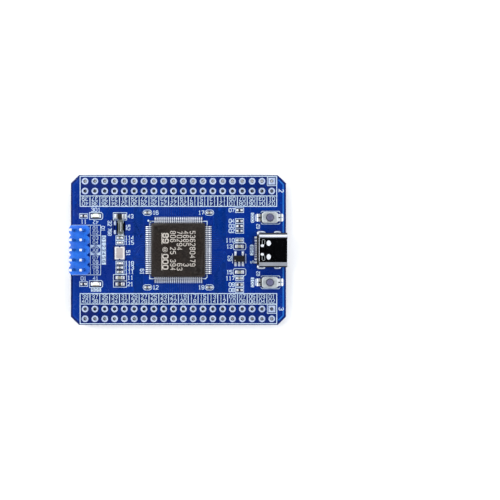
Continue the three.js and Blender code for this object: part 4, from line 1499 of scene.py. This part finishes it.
# Plunger, with a rounded and slightly dished top, which rides on its own body
def buildSwitchPlunger(name, x, y):
    low, high = nodeBox(f"{name}_switch_plunger")
    stem, flange = switch["stem"], switch["flange"]
    profile = [(flange - 0.04, low.z), (flange, low.z + 0.04), (flange, low.z + 0.18),
               (flange - 0.04, low.z + 0.22), (stem + 0.02, low.z + 0.22), (stem, low.z + 0.26),
               (stem, high.z - 0.14), (stem - 0.04, high.z - 0.05), (stem - 0.14, high.z - 0.005),
               (stem - 0.22, high.z), (stem - 0.3, high.z - 0.02), (0.3, high.z - 0.05),
               (0.05, high.z - 0.055)]
    makePiece(f"{name}_switch_button", [turned(profile, 32, x, y)], "buttonPlastic",
              body=f"{name}_button", standsFor=(f"{name}_switch_plunger",), smooth=50)


# Snap dome, built in its raised shape; the real one flattens as the plunger comes down
def buildSwitchDome(name, x, y):
    low, high = nodeBox(f"{name}_switch_dome")
    sheet = switch["domeSheet"]
    rise = high.z - low.z - sheet
    inside, outside = [], []
    for step in range(7):
        t = step / 6
        outline = circleOutline(max(switch["domeRadius"] * (1 - t), 0.01), x, y, 28)
        height = rise * math.cos(math.pi / 2 * (1 - t))
        outside.append(level(outline, low.z + height))
        inside.append(level(outline, low.z + height + sheet))
    dome = makePiece(f"{name}_switch_snap_dome", [stack(inside[::-1] + outside, looped=True)], "sheetSteel",
                     standsFor=(f"{name}_switch_dome",), smooth=60)
    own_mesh(dome)


for switchName in ("boot", "reset"):
    switchX, switchY = nodeCentre(f"{switchName}_switch_cover")
    coverLow, coverHigh = nodeBox(f"{switchName}_switch_cover")
    coverSize = (coverHigh.x - coverLow.x, coverHigh.y - coverLow.y, coverHigh.z)
    buildSwitchMoulding(switchName, switchX, switchY, *coverSize)
    buildSwitchCover(switchName, switchX, switchY, *coverSize)
    buildSwitchTerminals(switchName, switchX, switchY)
    buildSwitchPlunger(switchName, switchX, switchY)
    buildSwitchDome(switchName, switchX, switchY)
print("push switches built")


# Regulator
def buildRegulator():
    x, y = nodeCentre("regulator_body")
    low, high = nodeBox("regulator_body")
    length, width = high.x - low.x, high.y - low.y
    wide = roundedOutline(length, width, 0.06, x, y, 2)
    middle = low.z + 0.52
    layers = [level(offsetLine(wide, 0.1, True), low.z), level(wide, middle - 0.02), level(wide, middle + 0.02),
              level(offsetLine(wide, 0.1, True), high.z - 0.05), level(offsetLine(wide, 0.15, True), high.z)]
    makePiece("regulator_moulding", [stack(layers)], "blackPlastic",
              standsFor=("regulator_body",), smooth=25)
    leads, pads, solder = [], [], []
    lift = boardTop + board["padHeight"]
    path = roundCorners([(0.5, 0.54), (1.0, 0.54), (1.14, 0.07), (1.4, 0.07)], 0.1, 3)
    for side, places in ((-0.5, (-0.95, 0, 0.95)), (0.5, (-0.95, 0.95))):
        for place in places:
            leads.append(placed(bentStrip(path, 0.14, 0.4), x + place, y, lift, side))
            pad = slab(roundedOutline(1.0, 0.62, 0.06, 1.45, 0, 2), -0.03, 0)
            pads.append(placed(pad, x + place, y, lift, side))
            solder.append(placed(placed(solderWedge(0.3, 0.16, 0.48), 1.38, 0, 0), x + place, y, lift, side))
    makePiece("regulator_lead_set", leads, "tinnedLead", standsFor=("regulator_leads",),
              rounding=0.012)
    makePiece("regulator_pads", pads, "tinPad")
    makePiece("regulator_solder", solder, "solder")
    dot = turned([(0.12, high.z - 0.003), (0.12, high.z + 0.005)], 14, x - 1.05, y - 0.42)
    makePiece("regulator_mark", [dot], "chipMark")


# Crystals
def buildCrystals():
    x, y = nodeCentre("main_crystal_case")
    length, width, height = nodeSize("main_crystal_case")
    lidHigh = nodeBox("main_crystal_lid")[1].z
    case = slab(roundedOutline(length, width, 0.3, x, y, 4), boardTop + 0.03, boardTop + height, 0.03)
    body = makePiece("main_crystal_body", [case], "crystalRim", standsFor=("main_crystal_case",))
    notches = [turned([(0.22, boardTop - 0.1), (0.22, boardTop + height + 0.1)], 14,
                      x, y + side * (width / 2 + 0.06)) for side in (-1, 1)]
    cutAway(body, notches)
    lid = [level(roundedOutline(length - inset, width - inset * 0.6, 0.2, x, y, 4), z)
           for inset, z in ((0.84, boardTop + height), (0.84, boardTop + height + 0.04),
                            (0.9, boardTop + height + 0.07), (0.96, lidHigh - 0.04), (1.04, lidHigh))]
    makePiece("main_crystal_cover", [stack(lid)], "crystalLid", standsFor=("main_crystal_lid",), smooth=30)
    pads, solder = [], []
    for sx in (-1, 1):
        for sy in (-1, 1):
            pads.append(slab(roundedOutline(1.0, 1.2, 0.1, x + sx * 0.8, y + sy * 1.08, 2), boardTop - 0.01,
                             boardTop + 0.03))
            solder.append(placed(solderWedge(0.06, 0.3, 1.0), x + sx * (length / 2 - 0.02), y + sy * 1.1,
                                 boardTop + 0.03, 0 if sx > 0 else 1))
            solder.append(placed(solderWedge(0.06, 0.3, 0.75), x + sx * 0.8, y + sy * (width / 2 - 0.02),
                                 boardTop + 0.03, sy / 2))
    x, y = nodeCentre("clock_crystal")
    length, width, height = nodeSize("clock_crystal")
    case = slab(roundedOutline(length, width, 0.14, x, y, 3), boardTop + 0.03, boardTop + height - 0.16, 0.02)
    makePiece("clock_crystal_body", [case], "clockCan", standsFor=("clock_crystal",))
    lid = [level(roundedOutline(length - inset, width - inset, 0.16, x, y, 3), boardTop + height - drop)
           for inset, drop in ((0.16, 0.17), (0.16, 0.12), (0.3, 0.09), (0.4, 0.02), (0.5, 0))]
    makePiece("clock_crystal_cover", [stack(lid)], "clockCan", smooth=30)
    # A thin, wavy near-white bead along the lid: a painted highlight line
    wave = [(x + 0.12 + 0.05 * (-1) ** i, y - 1.2 + 0.4 * i) for i in range(7)]
    bead = ribbon(roundCorners(wave, 0.15, 2), 0.12, boardTop + height - 0.02, boardTop + height + 0.008)
    makePiece("clock_crystal_bead_highlight", [bead], "tipHighlightMetal")
    for sy in (-1, 1):
        pads.append(slab(roundedOutline(1.5, 1.1, 0.1, x, y + sy * 1.5, 2), boardTop - 0.01, boardTop + 0.03))
        solder.append(placed(solderWedge(0.4, 0.5, 1.2), x, y + sy * (width / 2 - 0.02), boardTop + 0.03, sy / 2))
    for place in (6.93, 4.62):
        pads.append(slab(capsuleOutline(0.55, 1.1, -16.4, place, 6), boardTop - 0.01, boardTop + 0.05, 0.03))
    makePiece("crystal_pads", pads, "tinPad")
    makePiece("crystal_solder", solder, "solder")


# Light-emitting diodes
def buildLight(node):
    x, y = nodeCentre(node)
    length, width, _ = nodeSize(node)
    base = roundedBlock(length - 0.1, width - 0.04, 0.02, 0.34, 0.03)
    makePiece(f"{node}_base", [placed(base, x, y, boardTop)], "ledBase", standsFor=(node,))
    dome = []
    for part, z in ((1.0, 0.3), (1.0, 0.5), (0.97, 0.62), (0.9, 0.72), (0.78, 0.78), (0.6, 0.8)):
        arch = [(x + part * (px - x), y + part * (py - y) + 0.06) for px, py in
                roundCorners([(x - 0.95, y - 0.36), (x + 0.95, y - 0.36), (x + 0.95, y - 0.1), (x + 0.6, y + 0.52),
                              (x - 0.6, y + 0.52), (x - 0.95, y - 0.1), (x - 0.95, y - 0.3)], 0.3, 3)]
        dome.append(level(arch, boardTop + z))
    makePiece(f"{node}_lens", [stack(dome)], "ledResin", smooth=60)
    ends, pads, solder = [], [], []
    for side in (-1, 1):
        cap = roundedBlock(0.22, width * 0.7, 0.02, 0.38, 0.03)
        ends.append(placed(cap, x + side * (length / 2 - 0.1), y, boardTop))
        pads.append(slab(roundedOutline(0.7, width * 0.8, 0.1, x + side * (length / 2 - 0.02), y, 3),
                         boardTop - 0.01, boardTop + 0.03))
        solder.append(placed(solderWedge(0.28, 0.3, width * 0.66), x + side * (length / 2 - 0.02), y,
                             boardTop + 0.03,
                             0 if side > 0 else 1))
    makePiece(f"{node}_ends", ends, "tinnedLead")
    makePiece(f"{node}_pads", pads + solder, "solder")
    chipDie = roundedBlock(0.3, 0.3, 0.34, 0.46, 0.02)
    makePiece(f"{node}_die", [placed(chipDie, x - 0.1, y, boardTop)], "goldPlate")


# Chip resistors, capacitors, the bead and the diode
chipFinishes = {"resistor": "resistorGlaze", "capacitor": "capacitorCeramic", "large": "capacitorCeramic",
                "corner": "capacitorCeramic", "wide": "capacitorCeramic", "diode": "blackPlastic"}


def buildChip(node, kind):
    x, y = nodeCentre(node)
    length, width, height = nodeSize(node)
    cap = 0.24 * length + 0.02
    finish = "ferriteCeramic" if node.endswith("bead") else chipFinishes[kind]
    if node.startswith("main_crystal"):
        finish = "paleCeramic"
    lift = boardTop + board["padHeight"]
    middle = roundedBlock(length - 0.1, width - 0.04, 0, height - 0.05, 0.035)
    makePiece(f"{node}_body", [placed(middle, x, y, lift)], finish, standsFor=(node,))
    ends = []
    for side in (-1, 1):
        end = roundedBlock(cap, width, 0, height - 0.03, 0.04)
        ends.append(placed(end, x + side * (length - cap) / 2, y, lift))
        pad = slab(roundedOutline(cap + 0.38, width + 0.12, 0.06, x + side * (length / 2 - cap / 2 + 0.14), y, 2),
                   boardTop - 0.01, lift)
        wedge = solderWedge(0.24 + 0.1 * height, height * 0.62, width * 0.94)
        ends += [pad, placed(wedge, x + side * (length / 2 - 0.02), y, lift, 0 if side > 0 else 1)]
    makePiece(f"{node}_ends", ends, "solder")


buildRegulator()
buildCrystals()
for lightNode in ("user_led", "power_led"):
    buildLight(lightNode)
for chipNode, (chipKind, *_) in chipBoxes.items():
    buildChip(chipNode, chipKind)
print("small parts built")

for node in ("mcu_die",):
    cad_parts[node].data.materials.clear()
    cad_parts[node].data.materials.append(finishes["dieMetal"])


# Studio: a pale floor, a white surround, three soft lights and a dark card above the camera
studio = {
    "floorSize": 1.6,
    "floorColour": (253, 253, 254),
    "surround": 1.0,
    "cameraX": 18.5,
    "cameraHeight": 300.0,
    "lensPerHeight": 0.27857,
    "cardHeight": 330.0,
    "cardRadius": 150.0,
    "sideLight": 1.5,
}


def flatPlane(name, size, x, y, z, finish):
    mesh = bpy.data.meshes.new(name)
    mesh.from_pydata([(px, py, z) for px, py in boxOutline(size, size, x, y)], [], [(0, 1, 2, 3)])
    mesh.materials.append(finish)
    plane = bpy.data.objects.new(name, mesh)
    bpy.context.scene.collection.objects.link(plane)
    return plane


def softLight(name, place, size, power):
    light = bpy.data.lights.new(name, "AREA")
    light.shape = "RECTANGLE"
    light.size, light.size_y = size
    light.energy = power
    lamp = bpy.data.objects.new(name, light)
    lamp.location = place
    lamp.rotation_euler = (-Vector(place)).to_track_quat("-Z", "Y").to_euler()
    bpy.context.scene.collection.objects.link(lamp)


def buildStudio():
    paper = makeFinish("floorPaper",
                       {"colour": studio["floorColour"], "otherColour": (249, 250, 252), "patchScale": 6.0,
                        "roughness": (0.7, 0.85), "depth": 0.02, "specks": 0.05, "specular": 0.2})
    flatPlane("floor", studio["floorSize"], 0, 0, 0, paper)
    dark = makeFinish("darkCard", {"colour": (14, 14, 16), "otherColour": (10, 10, 12), "roughness": (0.8, 0.95),
                                   "specular": 0.0})
    card = flatPlane("dark_card", 2 * studio["cardRadius"] * mm, studio["cameraX"] * mm, 0,
                     studio["cardHeight"] * mm, dark)
    card.visible_camera = False
    card.visible_shadow = False
    world = bpy.data.worlds.new("studioWorld")
    bpy.context.scene.world = world
    world.use_nodes = True
    sky = world.node_tree.nodes["Background"]
    sky.inputs["Color"].default_value = (0.95, 0.97, 1.0, 1)
    sky.inputs["Strength"].default_value = studio["surround"]
    softLight("leftLight", (-0.42, 0.1, 0.4), (0.3, 0.4), studio["sideLight"] * 1.2)
    softLight("rightLight", (0.45, -0.12, 0.35), (0.3, 0.4), studio["sideLight"])
    softLight("backLight", (0.05, 0.5, 0.35), (0.5, 0.2), studio["sideLight"] * 0.8)
    bpy.context.scene.view_settings.view_transform = "Standard"


def buildCamera():
    height = studio["cameraHeight"] + boardTop
    camera = bpy.data.cameras.new("camera")
    camera.sensor_width = 36
    camera.lens = studio["lensPerHeight"] * studio["cameraHeight"]
    camera.clip_start = 0.001
    camera.clip_end = 10
    viewer = bpy.data.objects.new("camera", camera)
    viewer.location = (studio["cameraX"] * mm, 0, height * mm)
    bpy.context.scene.collection.objects.link(viewer)
    bpy.context.scene.camera = viewer


buildStudio()
buildCamera()
print("studio built")
